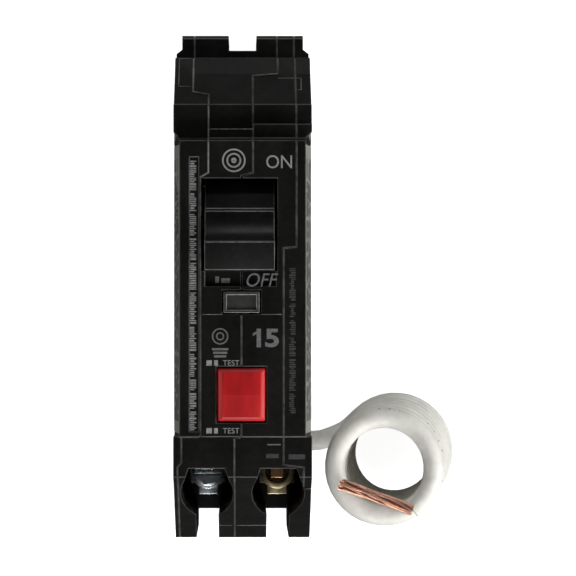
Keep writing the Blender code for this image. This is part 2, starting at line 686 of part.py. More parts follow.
def build_case():
    """Cut one hollow case, then part it along its seams into four shells."""
    whole = prism("whole_case", case_profile(), "x", -HALF_WIDTH, HALF_WIDTH, black_plastic())
    cuts = [nose_side_cut(-1), nose_side_cut(1)]
    cuts.append(prism("mechanism_room", mechanism_room(), "x", -CAVITY_HALF, CAVITY_HALF))
    cuts += module_room() + front_cuts() + line_cuts() + rivet_cuts()
    cuts += ledge_cuts()
    for side in (-1, 1):
        cuts += well_cut(side)
        cuts.append(ear_side_cut(side))
        cuts.append(label_strip("label_pocket", side, 1 * MM, LABEL_POCKET, 0.2 * MM))
    plunger_y = (MODULE_LINE_Y - 1 * MM, PARTITION_Y + 1 * MM)
    cuts.append(rod("plunger_hole", "y", (SOLENOID_Z, SOLENOID_X), 1.4 * MM, *plunger_y, None, 16))
    cuts.append(box("strap_window", STRAP_WINDOW_X, plunger_y, (SHELL_WALL + 0.4 * MM, 5.0 * MM)))
    groove_y = LOAD_Y + RAIL_GROOVE_FROM_LOAD
    cuts.append(box("rail_groove", (-FAR, FAR), (groove_y, groove_y + RAIL_GROOVE_WIDTH),
                    (-FAR, RAIL_GROOVE_DEPTH)))
    exit_place = (LOAD_Y + EXIT_FROM_LOAD, EXIT_HEIGHT)
    cuts.append(rod("pigtail_exit", "x", exit_place, BUSHING_RADIUS + GAP, CAVITY_HALF - 1 * MM, FAR))
    combine(whole, cuts, "DIFFERENCE")

    left, middle, right = seam_paths()
    half = SEAM / 2
    wide = 2 * FAR
    left_edge = [(-wide, LOAD_Y - FAR), (-wide, LINE_Y + FAR)]
    right_foot = [(wide, LOAD_Y - FAR), (wide, right[-1][1] - half)]
    right_edge = [(wide, right[-1][1] + half), (wide, LINE_Y + FAR)]
    regions = {
        "left_cover": offset_path(left, -half) + left_edge,
        "mechanism_case": offset_path(left, half) + offset_path(middle, -half)[::-1],
        "module_case": offset_path(middle, half) + right_foot + offset_path(right, -half)[::-1],
        "right_cover": offset_path(right, half) + right_edge,
    }
    for name, outline in regions.items():
        shell = bpy.data.objects.new(name, whole.data.copy())
        bpy.context.scene.collection.objects.link(shell)
        combine(shell, [region(name + "_region", outline)], "INTERSECT")
    bpy.data.objects.remove(whole, do_unlink=True)


def build_rivets():
    reach = HALF_WIDTH - 0.1 * MM
    under_head = reach - RIVET_HEAD_HEIGHT
    for number, place in enumerate(RIVETS, 1):
        shank = rod(f"case_rivet_{number}", "x", place, RIVET_RADIUS, -reach, reach, steel(), 16)
        heads = []
        for side in (-1, 1):
            low, high = sorted((side * reach, side * under_head))
            heads.append(rod("head", "x", place, RIVET_HEAD, low, high, None, 20))
        combine(shank, heads, "UNION")


def build_labels():
    paper = finish("label_paper", (0.42, 0.43, 0.40), 0.6)
    label_strip("label_left", -1, 0.0, LABEL_THICKNESS, 0.0, paper)
    label_strip("label_right", 1, 0.0, LABEL_THICKNESS, 0.0, paper)


# ---------------------------------------------------------------- handle


def handle_outline():
    """The handle upright about its axis, (y, z): the +Y half from the top down, mirrored."""
    half = [
        (2.6 * MM, HANDLE_REACH),
        (2.85 * MM, HANDLE_REACH - 0.3 * MM),
        (2.85 * MM, HANDLE_REACH - 1.8 * MM),
        (2.15 * MM, HANDLE_REACH - 3.2 * MM),
        (2.2 * MM, DRUM_RADIUS + 2.6 * MM),
        (2.9 * MM, DRUM_RADIUS + 1.2 * MM),
        (4.2 * MM, DRUM_RADIUS + 0.1 * MM),
    ]
    for degrees in (22.0, 25.5):
        angle = math.radians(degrees)
        rib = DRUM_RADIUS + 0.6 * MM
        half.append((rib * math.sin(angle), rib * math.cos(angle)))
    for step in range(6):
        angle = math.radians(28.0 + 30.0 * step / 5)
        half.append((DRUM_RADIUS * math.sin(angle), DRUM_RADIUS * math.cos(angle)))
    half += [(10.2 * MM, 5.6 * MM), (3.6 * MM, 1.5 * MM), (3.6 * MM, -1.2 * MM), (2.6 * MM, -2.2 * MM)]
    mirrored = [(-y, z) for y, z in half]
    return half + mirrored[::-1]


def build_handle():
    pivot = (HANDLE_Y, HANDLE_Z)
    low = HANDLE_CENTRE_X - HANDLE_WIDTH / 2
    high = HANDLE_CENTRE_X + HANDLE_WIDTH / 2
    plastic = finish("handle_plastic", (0.014, 0.014, 0.013), 0.38)
    handle = prism("handle", turned(handle_outline(), HANDLE_TILT, pivot), "x", low, high, plastic)
    leg = [(-2.0 * MM, 0), (2.0 * MM, 0), (1.5 * MM, -9.0 * MM), (-1.5 * MM, -9.0 * MM)]
    legs = []
    for start in (low + LEG_INSET, high - LEG_INSET - LEG_WIDTH):
        legs.append(prism("leg", turned(leg, HANDLE_TILT, pivot), "x", start, start + LEG_WIDTH))
    combine(handle, legs, "UNION")
    bore = rod("bore", "x", pivot, HANDLE_PIN_RADIUS + RUNNING_FIT, -FAR, FAR, None, 32)
    combine(handle, [bore], "DIFFERENCE")
    hang_on(axis_empty("handle_axis", (0, *pivot)), handle)
    reach = CAVITY_HALF - GAP
    rod("handle_pin", "x", pivot, HANDLE_PIN_RADIUS, -reach, reach, steel(), 32)


# ---------------------------------------------------------------- switching mechanism


def arm_pivot():
    return (HANDLE_Y + ARM_FROM_HANDLE.y, HANDLE_Z + ARM_FROM_HANDLE.z)


def build_contact_arm():
    """The arm is drawn open, as the handle rests at OFF; closed it lies level."""
    pivot = arm_pivot()
    low, high = ARM_X
    hub = 2.6 * MM
    bar = [(0, -ARM_HALF_HEIGHT), (ARM_LENGTH, -ARM_HALF_HEIGHT), (ARM_LENGTH + 1.5 * MM, 0),
           (ARM_LENGTH, ARM_HALF_HEIGHT), (0, ARM_HALF_HEIGHT)]
    arm = rod("contact_arm", "x", pivot, hub, low, high, copper())
    combine(arm, [prism("bar", turned(bar, ARM_OPEN_ANGLE, pivot), "x", low, high)], "UNION")
    bore = rod("bore", "x", pivot, ARM_PIN_RADIUS + RUNNING_FIT, -FAR, FAR)
    combine(arm, [bore], "DIFFERENCE")
    middle_x = (low + high) / 2
    seat = ARM_LENGTH - CONTACT_RADIUS
    face = -ARM_HALF_HEIGHT - 0.1 * MM
    button = rod("moving_contact", "z", (middle_x, seat), CONTACT_RADIUS, face - CONTACT_THICKNESS, face,
                 silver())
    turn = Matrix.Translation((0, *pivot)) @ Matrix.Rotation(ARM_OPEN_ANGLE, 4, "X")
    button.data.transform(turn)
    hang_on(axis_empty("contact_arm_axis", (0, *pivot)), arm, button)
    reach = CAVITY_HALF - GAP
    rod("contact_arm_pin", "x", pivot, ARM_PIN_RADIUS, -reach, reach, steel())
    fixed_top = pivot[1] + face - CONTACT_THICKNESS - GAP
    contact_y = pivot[0] + seat
    rod("fixed_contact", "z", (middle_x, contact_y), CONTACT_RADIUS, fixed_top - CONTACT_THICKNESS,
        fixed_top, silver())
    return fixed_top - CONTACT_THICKNESS - GAP


def build_line_jaw(strap_top):
    """A strap under the fixed contact, down to two leaves that grip the bus stab."""
    width = (-2.0 * MM, 2.0 * MM)
    top_z = (strap_top - PLATE_THICKNESS, strap_top)
    strap_y = (JAW_STRAP_Y, JAW_STRAP_Y + PLATE_THICKNESS)
    contact_y = arm_pivot()[0] + ARM_LENGTH - CONTACT_RADIUS
    bridge_top = STAB_SLOT_HEIGHT - GAP
    bridge_z = (bridge_top - PLATE_THICKNESS, bridge_top)
    jaw_y = (LINE_Y - STAB_SLOT_LENGTH + 1.0 * MM, LINE_Y - EAR_NOTCH - 0.8 * MM)
    jaw = box("line_jaw", width, (contact_y - 4.0 * MM, strap_y[1]), top_z, copper())
    drop = box("drop", width, strap_y, (bridge_z[0], strap_top))
    outer = STAB_SLOT_WIDTH / 2 - GAP
    leaf = 0.9 * MM
    bridge = box("bridge", (-outer, outer), jaw_y, bridge_z)
    leaves = []
    for side in (-1, 1):
        outline = [(side * outer, bridge_top - 0.5 * MM), (side * outer, 3.0 * MM),
                   (side * (outer - leaf), 3.0 * MM), (side * (outer - 1.5 * MM), 6.0 * MM),
                   (side * (outer - leaf), 9.0 * MM), (side * (outer - leaf), bridge_top - 0.5 * MM)]
        leaves.append(prism("leaf", [(z, x) for x, z in outline], "y", *jaw_y))
    combine(jaw, [drop, bridge] + leaves, "UNION")


def build_arc_chute(strap_top):
    """Steel splitter plates joined by one back plate, beyond the arm's swing."""
    back_y = LINE_Y - EAR_REACH - SHELL_WALL - 1.2 * MM
    width = (-6.0 * MM, 6.0 * MM)
    low = strap_top + 1.0 * MM
    fins = 5
    pitch = 1.5 * MM
    chute_z = (low, low + pitch * fins - 0.5 * MM)
    chute = box("arc_chute", width, (back_y, back_y + 0.9 * MM), chute_z, steel())
    plates = []
    for i in range(fins):
        z = low + 0.1 * MM + i * pitch
        plates.append(box("fin", width, (back_y - 1.3 * MM, back_y + 0.5 * MM), (z, z + 0.7 * MM)))
    combine(chute, plates, "UNION")


def build_cradle():
    """The latched trip lever, which passes under the handle's hub in its own layer."""
    pivot = (HANDLE_Y + CRADLE_FROM_HANDLE.y, HANDLE_Z + CRADLE_FROM_HANDLE.z)
    low, high = CRADLE_X
    hub = 2.2 * MM
    pin = 1.0 * MM
    tip_y = HANDLE_Y - 7.7 * MM
    beam = [
        (pivot[0] - 1.0 * MM, pivot[1] + 1.6 * MM),
        (pivot[0] - 6.5 * MM, pivot[1] - 3.0 * MM),
        (tip_y, pivot[1] - 3.6 * MM),
        (tip_y, pivot[1] - 5.4 * MM),
        (pivot[0] - 7.0 * MM, pivot[1] - 6.4 * MM),
        (pivot[0] + 1.0 * MM, pivot[1] - 1.6 * MM),
    ]
    cradle = rod("cradle", "x", pivot, hub, low, high, steel())
    combine(cradle, [prism("beam", beam, "x", low, high)], "UNION")
    combine(cradle, [rod("bore", "x", pivot, pin + RUNNING_FIT, -FAR, FAR)], "DIFFERENCE")
    hang_on(axis_empty("cradle_axis", (0, *pivot)), cradle)
    reach = CAVITY_HALF - GAP
    rod("cradle_pin", "x", pivot, pin, -reach, reach, steel())


def build_toggle_spring():
    pivot = arm_pivot()
    x = ARM_X[0] - LAYER_GAP - SPRING_WIRE_REACH
    lower = Vector((x, pivot[0] + 8.5 * MM, pivot[1] - 4.0 * MM))
    upper = Vector((x, pivot[0] + 6.5 * MM, pivot[1] + 9.0 * MM))
    points = [lower.lerp(upper, i / 3) for i in range(4)]
    tube("toggle_spring", points, 2 * SPRING_WIRE_REACH, steel(), 3)


def build_trip_unit():
    """Bimetal on the load strap, the magnet yoke round it and the armature in front."""
    armature_y = (ARMATURE_Y, ARMATURE_Y + ARMATURE_THICKNESS)
    plate_x = (SOLENOID_X - 2.4 * MM, CRADLE_X[1])
    armature = box("armature", plate_x, armature_y, (ARMATURE_FOOT, ARMATURE_TOP), steel())
    slot_x = (SOLENOID_X - 1.2 * MM, SOLENOID_X + 1.2 * MM)
    slot_z = (SOLENOID_Z - 1.4 * MM, SOLENOID_Z + 1.4 * MM)
    combine(armature, [box("slot", slot_x, (armature_y[0] - 1 * MM, armature_y[1] + 1 * MM), slot_z)],
            "DIFFERENCE")
    hinge_z = ARMATURE_TOP - 0.5 * MM
    hang_on(axis_empty("armature_axis", (0, ARMATURE_Y + ARMATURE_THICKNESS / 2, hinge_z)), armature)

    bimetal_y1 = ARMATURE_Y - BIMETAL_FROM_ARMATURE
    bimetal_y0 = bimetal_y1 - BIMETAL_THICKNESS
    foot_z = STRAP_Z[1] + GAP
    blend = finish("bimetal", (0.5, 0.42, 0.3), 0.35, 1.0)
    bimetal_z = (foot_z, ARMATURE_TOP - 5 * MM)
    box("bimetal", (-BIMETAL_HALF, BIMETAL_HALF), (bimetal_y0, bimetal_y1), bimetal_z, blend)

    yoke_z = (HANDLE_Z - 21 * MM, HANDLE_Z - 11 * MM)
    back_y = (bimetal_y0 - 2.0 * MM, bimetal_y0 - 1.0 * MM)
    yoke = box("magnet_yoke", (-YOKE_HALF, YOKE_HALF), back_y, yoke_z, steel())
    arms = []
    for side in (-1, 1):
        low, high = sorted((side * YOKE_HALF, side * (YOKE_HALF - 1.0 * MM)))
        arms.append(box("arm", (low, high), (back_y[0], bimetal_y1), yoke_z))
    combine(yoke, arms, "UNION")

    corner = (bimetal_y0 - 0.6 * MM, bimetal_y1 + 0.6 * MM)
    strap = box("load_strap", STRAP_X, (MODULE_LOAD_Y + 0.8 * MM, corner[1]), STRAP_Z, copper())
    foot = box("foot", (-BIMETAL_HALF, STRAP_X[1]), corner, STRAP_Z)
    riser_y = (MODULE_LOAD_Y + 0.8 * MM, MODULE_LOAD_Y + 0.8 * MM + PLATE_THICKNESS)
    riser = box("riser", STRAP_X, riser_y, (STRAP_Z[0], PLATE_TOP - PLATE_THICKNESS - GAP))
    combine(strap, [foot, riser], "UNION")

    screw_y = (PARTITION_Y + GAP, bimetal_y0 - GAP)
    rod("calibration_screw", "y", (9.0 * MM, 0.0), 1.5 * MM, *screw_y, steel(), 16)

    arm_y, arm_z = arm_pivot()
    x = (ARM_X[0] + ARM_X[1]) / 2
    start = (x, bimetal_y1 + 1.4 * MM, 9.0 * MM)
    route = [start, (x, start[1] + 3.5 * MM, 10.5 * MM), (x, arm_y - 5.0 * MM, arm_z - 11.0 * MM),
             (x, arm_y - 1.0 * MM, arm_z - 4.2 * MM)]
    tube("braid", smooth_path(route, 2.5 * MM), 1.8 * MM, copper())


# ---------------------------------------------------------------- ground-fault module


def build_test_button():
    red = finish("red_plastic", (0.41, 0.012, 0.016), 0.35)
    x0 = BUTTON_CENTRE_X
    half_x = BUTTON_WIDTH / 2
    half_y = BUTTON_LENGTH / 2
    flange_top = ROOF_Z - GAP
    flange_foot = flange_top - 1.9 * MM
    bevel = 0.8 * MM
    top = BODY_DEPTH + BUTTON_CROWN
    points = []
    for sx in (-1, 1):
        for sy in (-1, 1):
            points.append((x0 + sx * half_x, BUTTON_Y + sy * half_y, flange_foot + 1 * MM))
            points.append((x0 + sx * half_x, BUTTON_Y + sy * half_y, BODY_DEPTH))
            points.append((x0 + sx * (half_x - bevel), BUTTON_Y + sy * (half_y - bevel), top))
    button = hull("test_button", points, red)
    wide_x = half_x + BUTTON_FLANGE
    wide_y = half_y + BUTTON_FLANGE
    flange = box("flange", (x0 - wide_x, x0 + wide_x), (BUTTON_Y - wide_y, BUTTON_Y + wide_y),
                 (flange_foot, flange_top))
    half_stem = BUTTON_STEM / 2
    stem = box("stem", (x0 - half_stem, x0 + half_stem), (BUTTON_Y - half_stem, BUTTON_Y + half_stem),
               (STEM_FOOT, flange_foot + 0.5 * MM))
    combine(button, [flange, stem], "UNION")
    hang_on(axis_empty("test_button_axis", (x0, BUTTON_Y, BODY_DEPTH)), button)
    ring("button_spring", "z", (x0, BUTTON_Y), SPRING_OUTER, SPRING_OUTER - 0.5 * MM,
         SHELF_TOP + GAP, flange_foot - GAP, steel())
    leaf_top = STEM_FOOT - BUTTON_TRAVEL - 0.1 * MM
    box("test_contact", (x0 - 3.5 * MM, BOARD_X[0] - GAP), (BUTTON_Y - 1.5 * MM, BUTTON_Y + 1.5 * MM),
        (leaf_top - 0.5 * MM, leaf_top), copper())


def build_indicator():
    clear = finish("lens_plastic", (0.30, 0.30, 0.29), 0.25)
    x0 = BUTTON_CENTRE_X
    half_x = INDICATOR_WIDTH / 2
    half_y = INDICATOR_LENGTH / 2
    top = BODY_DEPTH + 0.3 * MM
    x = (x0 - half_x, x0 + half_x)
    y = (INDICATOR_Y - half_y, INDICATOR_Y + half_y)
    lens = box("indicator_lens", x, y, (ROOF_Z - 1.1 * MM, top), clear)
    rim = 0.5 * MM
    pocket = box("pocket", (x[0] + rim, x[1] - rim), (y[0] + rim, y[1] - rim), (top - 0.4 * MM, top + 1 * MM))
    combine(lens, [pocket], "DIFFERENCE")
    lamp = finish("lamp_plastic", (0.6, 0.1, 0.08), 0.3)
    rod("indicator_lamp", "z", (x0, INDICATOR_Y), 1.5 * MM, ROOF_Z - 5.5 * MM, ROOF_Z - 1.4 * MM, lamp, 16)


def build_electronics():
    """The board on the right wall, with its transformers and parts on its left face."""
    middle_y = (MODULE_LINE_Y + MODULE_LOAD_Y) / 2
    green = finish("board", (0.03, 0.16, 0.07), 0.45)
    board_y = (MODULE_LOAD_Y + 3.6 * MM, MODULE_LINE_Y - 1.0 * MM)
    box("circuit_board", BOARD_X, board_y, (6.0 * MM, SHELF_TOP - SHELF_WALL - 1.3 * MM), green)
    core = finish("core_coating", (0.05, 0.09, 0.22), 0.5)
    coil_z = HANDLE_Z - 12.0 * MM
    face = BOARD_X[0] - BOARD_GAP
    ground_start = -(CAVITY_HALF - CORE_FROM_WALL)
    sense_end = face - CORE_FROM_BOARD
    core_room = sense_end - ground_start - CORE_SPACING
    sense_start = sense_end - core_room * SENSE_SHARE
    ground_end = ground_start + core_room * (1 - SENSE_SHARE)
    ring("sense_transformer", "x", (middle_y, coil_z), 7.2 * MM, 3.2 * MM, sense_start, sense_end, core, 28)
    ring("ground_transformer", "x", (middle_y, coil_z), 7.0 * MM, 3.4 * MM, ground_start, ground_end, core,
         28)
    sleeve = finish("capacitor_sleeve", (0.02, 0.03, 0.08), 0.4)
    rod("capacitor", "x", (middle_y - 3.2 * MM, 13.5 * MM), 3.1 * MM, 1.5 * MM, face, sleeve, 20)
    coat = finish("varistor_coat", (0.05, 0.12, 0.4), 0.5)
    rod("varistor", "x", (middle_y + 4.2 * MM, 13.0 * MM), 3.4 * MM, face - 2.2 * MM, face, coat, 20)
    chip_z = coil_z + 8.6 * MM
    box("control_chip", (face - 1.2 * MM, face), (middle_y + 0.6 * MM, middle_y + 6.6 * MM),
        (chip_z, chip_z + 3.2 * MM), finish("chip", (0.02, 0.02, 0.022), 0.5))


def build_solenoid():
    """Frame, coil and a plunger whose head pulls the armature's foot back."""
    centre = (SOLENOID_Z, SOLENOID_X)
    coil_y1 = MODULE_LINE_Y - 3.0 * MM
    coil_y0 = coil_y1 - 11.0 * MM
    plate = 0.9 * MM
    wire = finish("coil_wire", (0.45, 0.16, 0.06), 0.4, 0.6)
    ring("solenoid_coil", "y", centre, SOLENOID_HALF, 1.9 * MM, coil_y0, coil_y1, wire)
    x = (SOLENOID_X - SOLENOID_HALF, SOLENOID_X + SOLENOID_HALF)
    floor_z = SOLENOID_Z - 3.3 * MM - plate
    top_z = SOLENOID_Z + 3.0 * MM
    y0 = coil_y0 - GAP - plate
    y1 = coil_y1 + GAP + plate
    frame = box("solenoid_frame", x, (y0, y1), (floor_z, floor_z + plate), steel())
    cheeks = [box("cheek", x, (y0, y0 + plate), (floor_z, top_z)),
              box("cheek", x, (y1 - plate, y1), (floor_z, top_z))]
    combine(frame, cheeks, "UNION")
    combine(frame, [rod("hole", "y", centre, 1.9 * MM, y1 - 2 * plate, y1 + 1 * MM)], "DIFFERENCE")
    spring_y0 = y1 + GAP
    ring("plunger_spring", "y", centre, 2.6 * MM, 2.0 * MM, spring_y0, MODULE_LINE_Y - GAP, steel(), 20)
    body_y = (coil_y0 + PLUNGER_TRAVEL + GAP, MODULE_LINE_Y - 0.5 * MM)
    head_y = ARMATURE_Y + ARMATURE_THICKNESS + GAP
    plunger = rod("plunger", "y", centre, 1.6 * MM, *body_y, steel())
    stem = rod("stem", "y", centre, 0.8 * MM, body_y[1] - 1 * MM, head_y + 0.5 * MM, None, 16)
    head = rod("head", "y", centre, 1.8 * MM, head_y, head_y + 1.0 * MM)
    combine(plunger, [stem, head], "UNION")
    hang_on(axis_empty("plunger_axis", (SOLENOID_X, head_y, SOLENOID_Z)), plunger)


# ---------------------------------------------------------------- terminals


def terminal_plate(name, side, material):
    """A flat plate under the clamp, with a narrow tail into the electronics."""
    x = side * WELL_OFFSET
    z = (PLATE_TOP - PLATE_THICKNESS, PLATE_TOP)
    wide = 3.4 * MM
    tail_end = MODULE_LOAD_Y + 3.0 * MM
    tongue_end = WELL_Y - 1.7 * MM
    outline = [
        (x - TONGUE_HALF, tongue_end), (x + TONGUE_HALF, tongue_end),
        (x + TONGUE_HALF, WELL_Y + 0.4 * MM), (x + wide, WELL_Y + 0.4 * MM),
        (x + wide, WELL_Y + 6.5 * MM), (x + TONGUE_HALF, WELL_Y + 6.5 * MM),
        (x + TONGUE_HALF, tail_end), (x - TONGUE_HALF, tail_end),
        (x - TONGUE_HALF, WELL_Y + 6.5 * MM), (x - wide, WELL_Y + 6.5 * MM),
        (x - wide, WELL_Y + 0.4 * MM), (x - TONGUE_HALF, WELL_Y + 0.4 * MM),
    ]
    plate = prism(name, outline, "z", *z, material)
    hole = rod("hole", "z", (x, SCREW_Y), SCREW_RADIUS + GAP, z[0] - 1 * MM, z[1] + 1 * MM)
    return combine(plate, [hole], "DIFFERENCE")


def build_neutral_terminal():
    """A slotted screw over a round clamp plate."""
    x = -WELL_OFFSET
    centre = (x, SCREW_Y)
    plate_steel = finish("plated_steel", (0.62, 0.63, 0.62), 0.28, 1.0)
    terminal_plate("neutral_plate", -1, plate_steel)
    clamp_top = CLAMP_FOOT + PLATE_THICKNESS
    clamp = rod("neutral_clamp", "z", centre, 3.5 * MM, CLAMP_FOOT, clamp_top, plate_steel)
    hole = rod("hole", "z", centre, SCREW_RADIUS + 0.2 * MM, CLAMP_FOOT - 1 * MM, clamp_top + 1 * MM)
    combine(clamp, [hole], "DIFFERENCE")
    head_foot = clamp_top + GAP
    head_top = head_foot + SCREW_HEAD_HEIGHT
    screw = rod("neutral_screw", "z", centre, SCREW_HEAD, head_foot, head_top, plate_steel, 28)
    shank = rod("shank", "z", centre, SCREW_RADIUS, TERMINAL_FLOOR + 2.4 * MM, head_foot + 1 * MM, None, 16)
    combine(screw, [shank], "UNION")
    slot = box("slot", (x - 4 * MM, x + 4 * MM), (SCREW_Y - 0.45 * MM, SCREW_Y + 0.45 * MM),
               (head_top - 1.1 * MM, head_top + 1 * MM))
    combine(screw, [slot], "DIFFERENCE")
    hang_on(axis_empty("neutral_screw_axis", (x, SCREW_Y, head_foot)), clamp, screw)
    strap_z = (NEUTRAL_WIRE_TOP + GAP, PLATE_TOP - PLATE_THICKNESS - GAP)
    strap_y = (MODULE_LOAD_Y + 0.6 * MM, MODULE_LOAD_Y + 0.6 * MM + PLATE_THICKNESS)
    box("neutral_strap", (x - TONGUE_HALF, x + TONGUE_HALF), strap_y, strap_z, copper())


def build_power_terminal():
    """A brass saddle, open towards the line end, with a square-headed screw inside it."""
    x = WELL_OFFSET
    centre = (x, SCREW_Y)
    terminal_plate("power_plate", 1, brass())
    inner = SADDLE_OUTER - SADDLE_WALL
    arm_y = SCREW_Y + 2.6 * MM
    outside = [(x + SADDLE_OUTER, arm_y)] + [(x - SADDLE_OUTER, arm_y)]
    outside += circle(centre, SADDLE_OUTER, 14, math.pi, math.pi)
    inside = [(x + inner, arm_y + 1 * MM)] + [(x - inner, arm_y + 1 * MM)]
    inside += circle(centre, inner, 14, math.pi, math.pi)
    foot = (CLAMP_FOOT, CLAMP_FOOT + SADDLE_HEIGHT)
    saddle = prism("power_clamp", outside, "z", *foot, brass())
    hollow = prism("hollow", inside, "z", foot[0] + 1.0 * MM, foot[1] + 1 * MM)
    hole = rod("hole", "z", centre, SCREW_RADIUS + 0.2 * MM, foot[0] - 1 * MM, foot[0] + 2 * MM)
    combine(saddle, [hollow, hole], "DIFFERENCE")
    head = 1.3 * MM
    head_foot = foot[0] + 1.0 * MM + GAP
    screw = box("power_screw", (x - head, x + head), (SCREW_Y - head, SCREW_Y + head),
                (head_foot, head_foot + 1.8 * MM), copper())
    shank = rod("shank", "z", centre, SCREW_RADIUS, TERMINAL_FLOOR + 2.4 * MM, head_foot + 1 * MM, None, 16)
    combine(screw, [shank], "UNION")
    hang_on(axis_empty("power_screw_axis", (x, SCREW_Y, head_foot)), saddle, screw)


# ---------------------------------------------------------------- pigtail

def lead_route():
    """The free run's own points, from the bushing to where the coil takes over."""
    exit_y = LOAD_Y + EXIT_FROM_LOAD
    return [
        (HALF_WIDTH + 0.2 * MM, exit_y, EXIT_HEIGHT),
        (HALF_WIDTH + 1.6 * MM, exit_y + 0.05 * MM, EXIT_HEIGHT - 0.1 * MM),
        (HALF_WIDTH + 3.4 * MM, exit_y + 0.3 * MM, EXIT_HEIGHT - 0.8 * MM),
    ]


def build_pigtail():
    white = finish("wire_insulation", (0.78, 0.77, 0.72), 0.45)
    exit_place = (LOAD_Y + EXIT_FROM_LOAD, EXIT_HEIGHT)
    ring("pigtail_bushing", "x", exit_place, BUSHING_RADIUS, WIRE_DIAMETER / 2 + 0.15 * MM,
         CAVITY_HALF + 0.1 * MM, HALF_WIDTH - 0.1 * MM, finish("bushing_rubber", (0.02, 0.02, 0.02), 0.6))
    inside = [
        (HALF_WIDTH - 0.1 * MM, exit_place[0], EXIT_HEIGHT),
        (HALF_WIDTH - 3.0 * MM, exit_place[0], EXIT_HEIGHT),
        (4.0 * MM, exit_place[0] + 1.0 * MM, EXIT_HEIGHT - 0.3 * MM),
        (-4.0 * MM, exit_place[0] + 3.4 * MM, EXIT_HEIGHT - 0.4 * MM),
        (-WELL_OFFSET, exit_place[0] + 5.2 * MM, EXIT_HEIGHT - 0.3 * MM),
    ]
    tube("neutral_wire", smooth_path(inside, 4 * MM), WIRE_DIAMETER, white)
    tube("pigtail_lead", smooth_path(lead_route(), 1.2 * MM), WIRE_DIAMETER, white)

    outer = COIL_RADIUS + WIRE_DIAMETER / 2 + 0.1 * MM
    inner = COIL_RADIUS - WIRE_DIAMETER / 2 - 0.1 * MM
    foot = 0.05 * MM
    coil_z = (foot, foot + COIL_HEIGHT)
    coil = ring("pigtail_coil", "z", (COIL_FOOT.x, COIL_FOOT.y), outer, inner, *coil_z, white, 36)
    lean = Matrix.Identity(4)
    lean[0][2] = COIL_LEAN.x / COIL_HEIGHT
    lean[1][2] = COIL_LEAN.y / COIL_HEIGHT
    coil.data.transform(lean)

    strand_z = foot + COIL_HEIGHT + GAP + COPPER_DIAMETER / 2
    top_centre = COIL_FOOT + COIL_LEAN
    start = top_centre + Vector((5.2 * MM, -7.6 * MM, strand_z))
    end = top_centre + Vector((-8.6 * MM, -2.7 * MM, strand_z))
    tube("pigtail_strands", [start.lerp(end, i / 4) for i in range(5)], COPPER_DIAMETER, copper())


def main():
    clear_scene()
    build_case()
    build_rivets()
    build_labels()
    build_handle()
    strap_top = build_contact_arm()
    build_line_jaw(strap_top)
    build_arc_chute(strap_top)
    build_cradle()
    build_toggle_spring()
    build_trip_unit()
    build_test_button()
    build_indicator()
    build_electronics()
    build_solenoid()
    build_neutral_terminal()
    build_power_terminal()
    build_pigtail()


main()
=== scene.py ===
"""A plug-in ground-fault breaker: moulded case, handle, test button, terminals and coiled pigtail."""
import json
import math
import random

import bmesh
import bpy
from mathutils import Matrix, Vector
from mathutils.bvhtree import BVHTree


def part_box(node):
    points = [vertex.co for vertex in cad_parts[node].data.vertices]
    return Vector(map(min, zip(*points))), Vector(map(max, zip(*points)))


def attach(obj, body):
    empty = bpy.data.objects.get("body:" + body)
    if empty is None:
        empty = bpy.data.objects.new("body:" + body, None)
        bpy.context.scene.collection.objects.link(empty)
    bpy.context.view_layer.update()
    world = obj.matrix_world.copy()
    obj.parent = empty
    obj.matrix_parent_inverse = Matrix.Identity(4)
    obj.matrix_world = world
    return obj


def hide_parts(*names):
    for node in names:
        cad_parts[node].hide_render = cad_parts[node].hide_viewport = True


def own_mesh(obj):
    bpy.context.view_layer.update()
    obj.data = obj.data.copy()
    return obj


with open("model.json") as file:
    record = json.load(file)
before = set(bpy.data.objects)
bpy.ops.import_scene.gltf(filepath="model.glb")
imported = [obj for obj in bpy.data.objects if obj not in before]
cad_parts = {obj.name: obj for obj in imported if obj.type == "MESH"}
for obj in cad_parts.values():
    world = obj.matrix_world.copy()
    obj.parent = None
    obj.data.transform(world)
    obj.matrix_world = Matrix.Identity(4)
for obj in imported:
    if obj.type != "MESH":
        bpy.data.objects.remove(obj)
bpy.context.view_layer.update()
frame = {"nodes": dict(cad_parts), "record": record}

bl_info = {
    "name": "Ground-fault breaker",
    "version": (1, 0, 0),
    "blender": (4, 5, 0),
    "location": "View3D > Sidebar > Breaker",
    "description": "Finishes a single-pole ground-fault breaker piece by piece",
    "category": "Object",
}

MM = 0.001
RECORD = frame["record"]
SLOT_OF = {row["node"]: row["material_slot"] for row in RECORD["subparts"]}
BODY_OF = {node: body for body, nodes in RECORD["behaviour"]["bodies"].items() for node in nodes}
SHELLS = ("left_cover", "mechanism_case", "module_case", "right_cover")

FACE_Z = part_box("mechanism_case")[1].z
LOAD_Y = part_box("module_case")[0].y
SIDE_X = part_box("right_cover")[1].x
UP = Vector((0, 0, 1))
MERGE = 0.001 * MM
NODE_MERGE = 0.002 * MM
LETTER_MERGE = 0.1 * MM
BUTTON_STROKE = next(joint["range_m"] for joint in RECORD["behaviour"]["joints"]
                     if joint["name"] == "test_button_press")


# ---- small helpers

def link_new(name, data):
    """A new object in the scene."""
    thing = bpy.data.objects.new(name, data)
    bpy.context.scene.collection.objects.link(thing)
    return thing


def stored_mesh(name, bm, *finishes):
    """A mesh made from a bmesh, which is freed."""
    mesh = bpy.data.meshes.new(name)
    bm.to_mesh(mesh)
    bm.free()
    for finish in finishes:
        mesh.materials.append(finish)
    return mesh


def add_piece(name, bm, body, slot, *finishes, crease=35):
    """Links a finished mesh as one piece that rides on a body."""
    mesh = stored_mesh(name, bm, *finishes)
    mesh.shade_smooth()
    mesh.set_sharp_from_angle(angle=math.radians(crease))
    piece = link_new(name, mesh)
    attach(piece, body)
    return piece


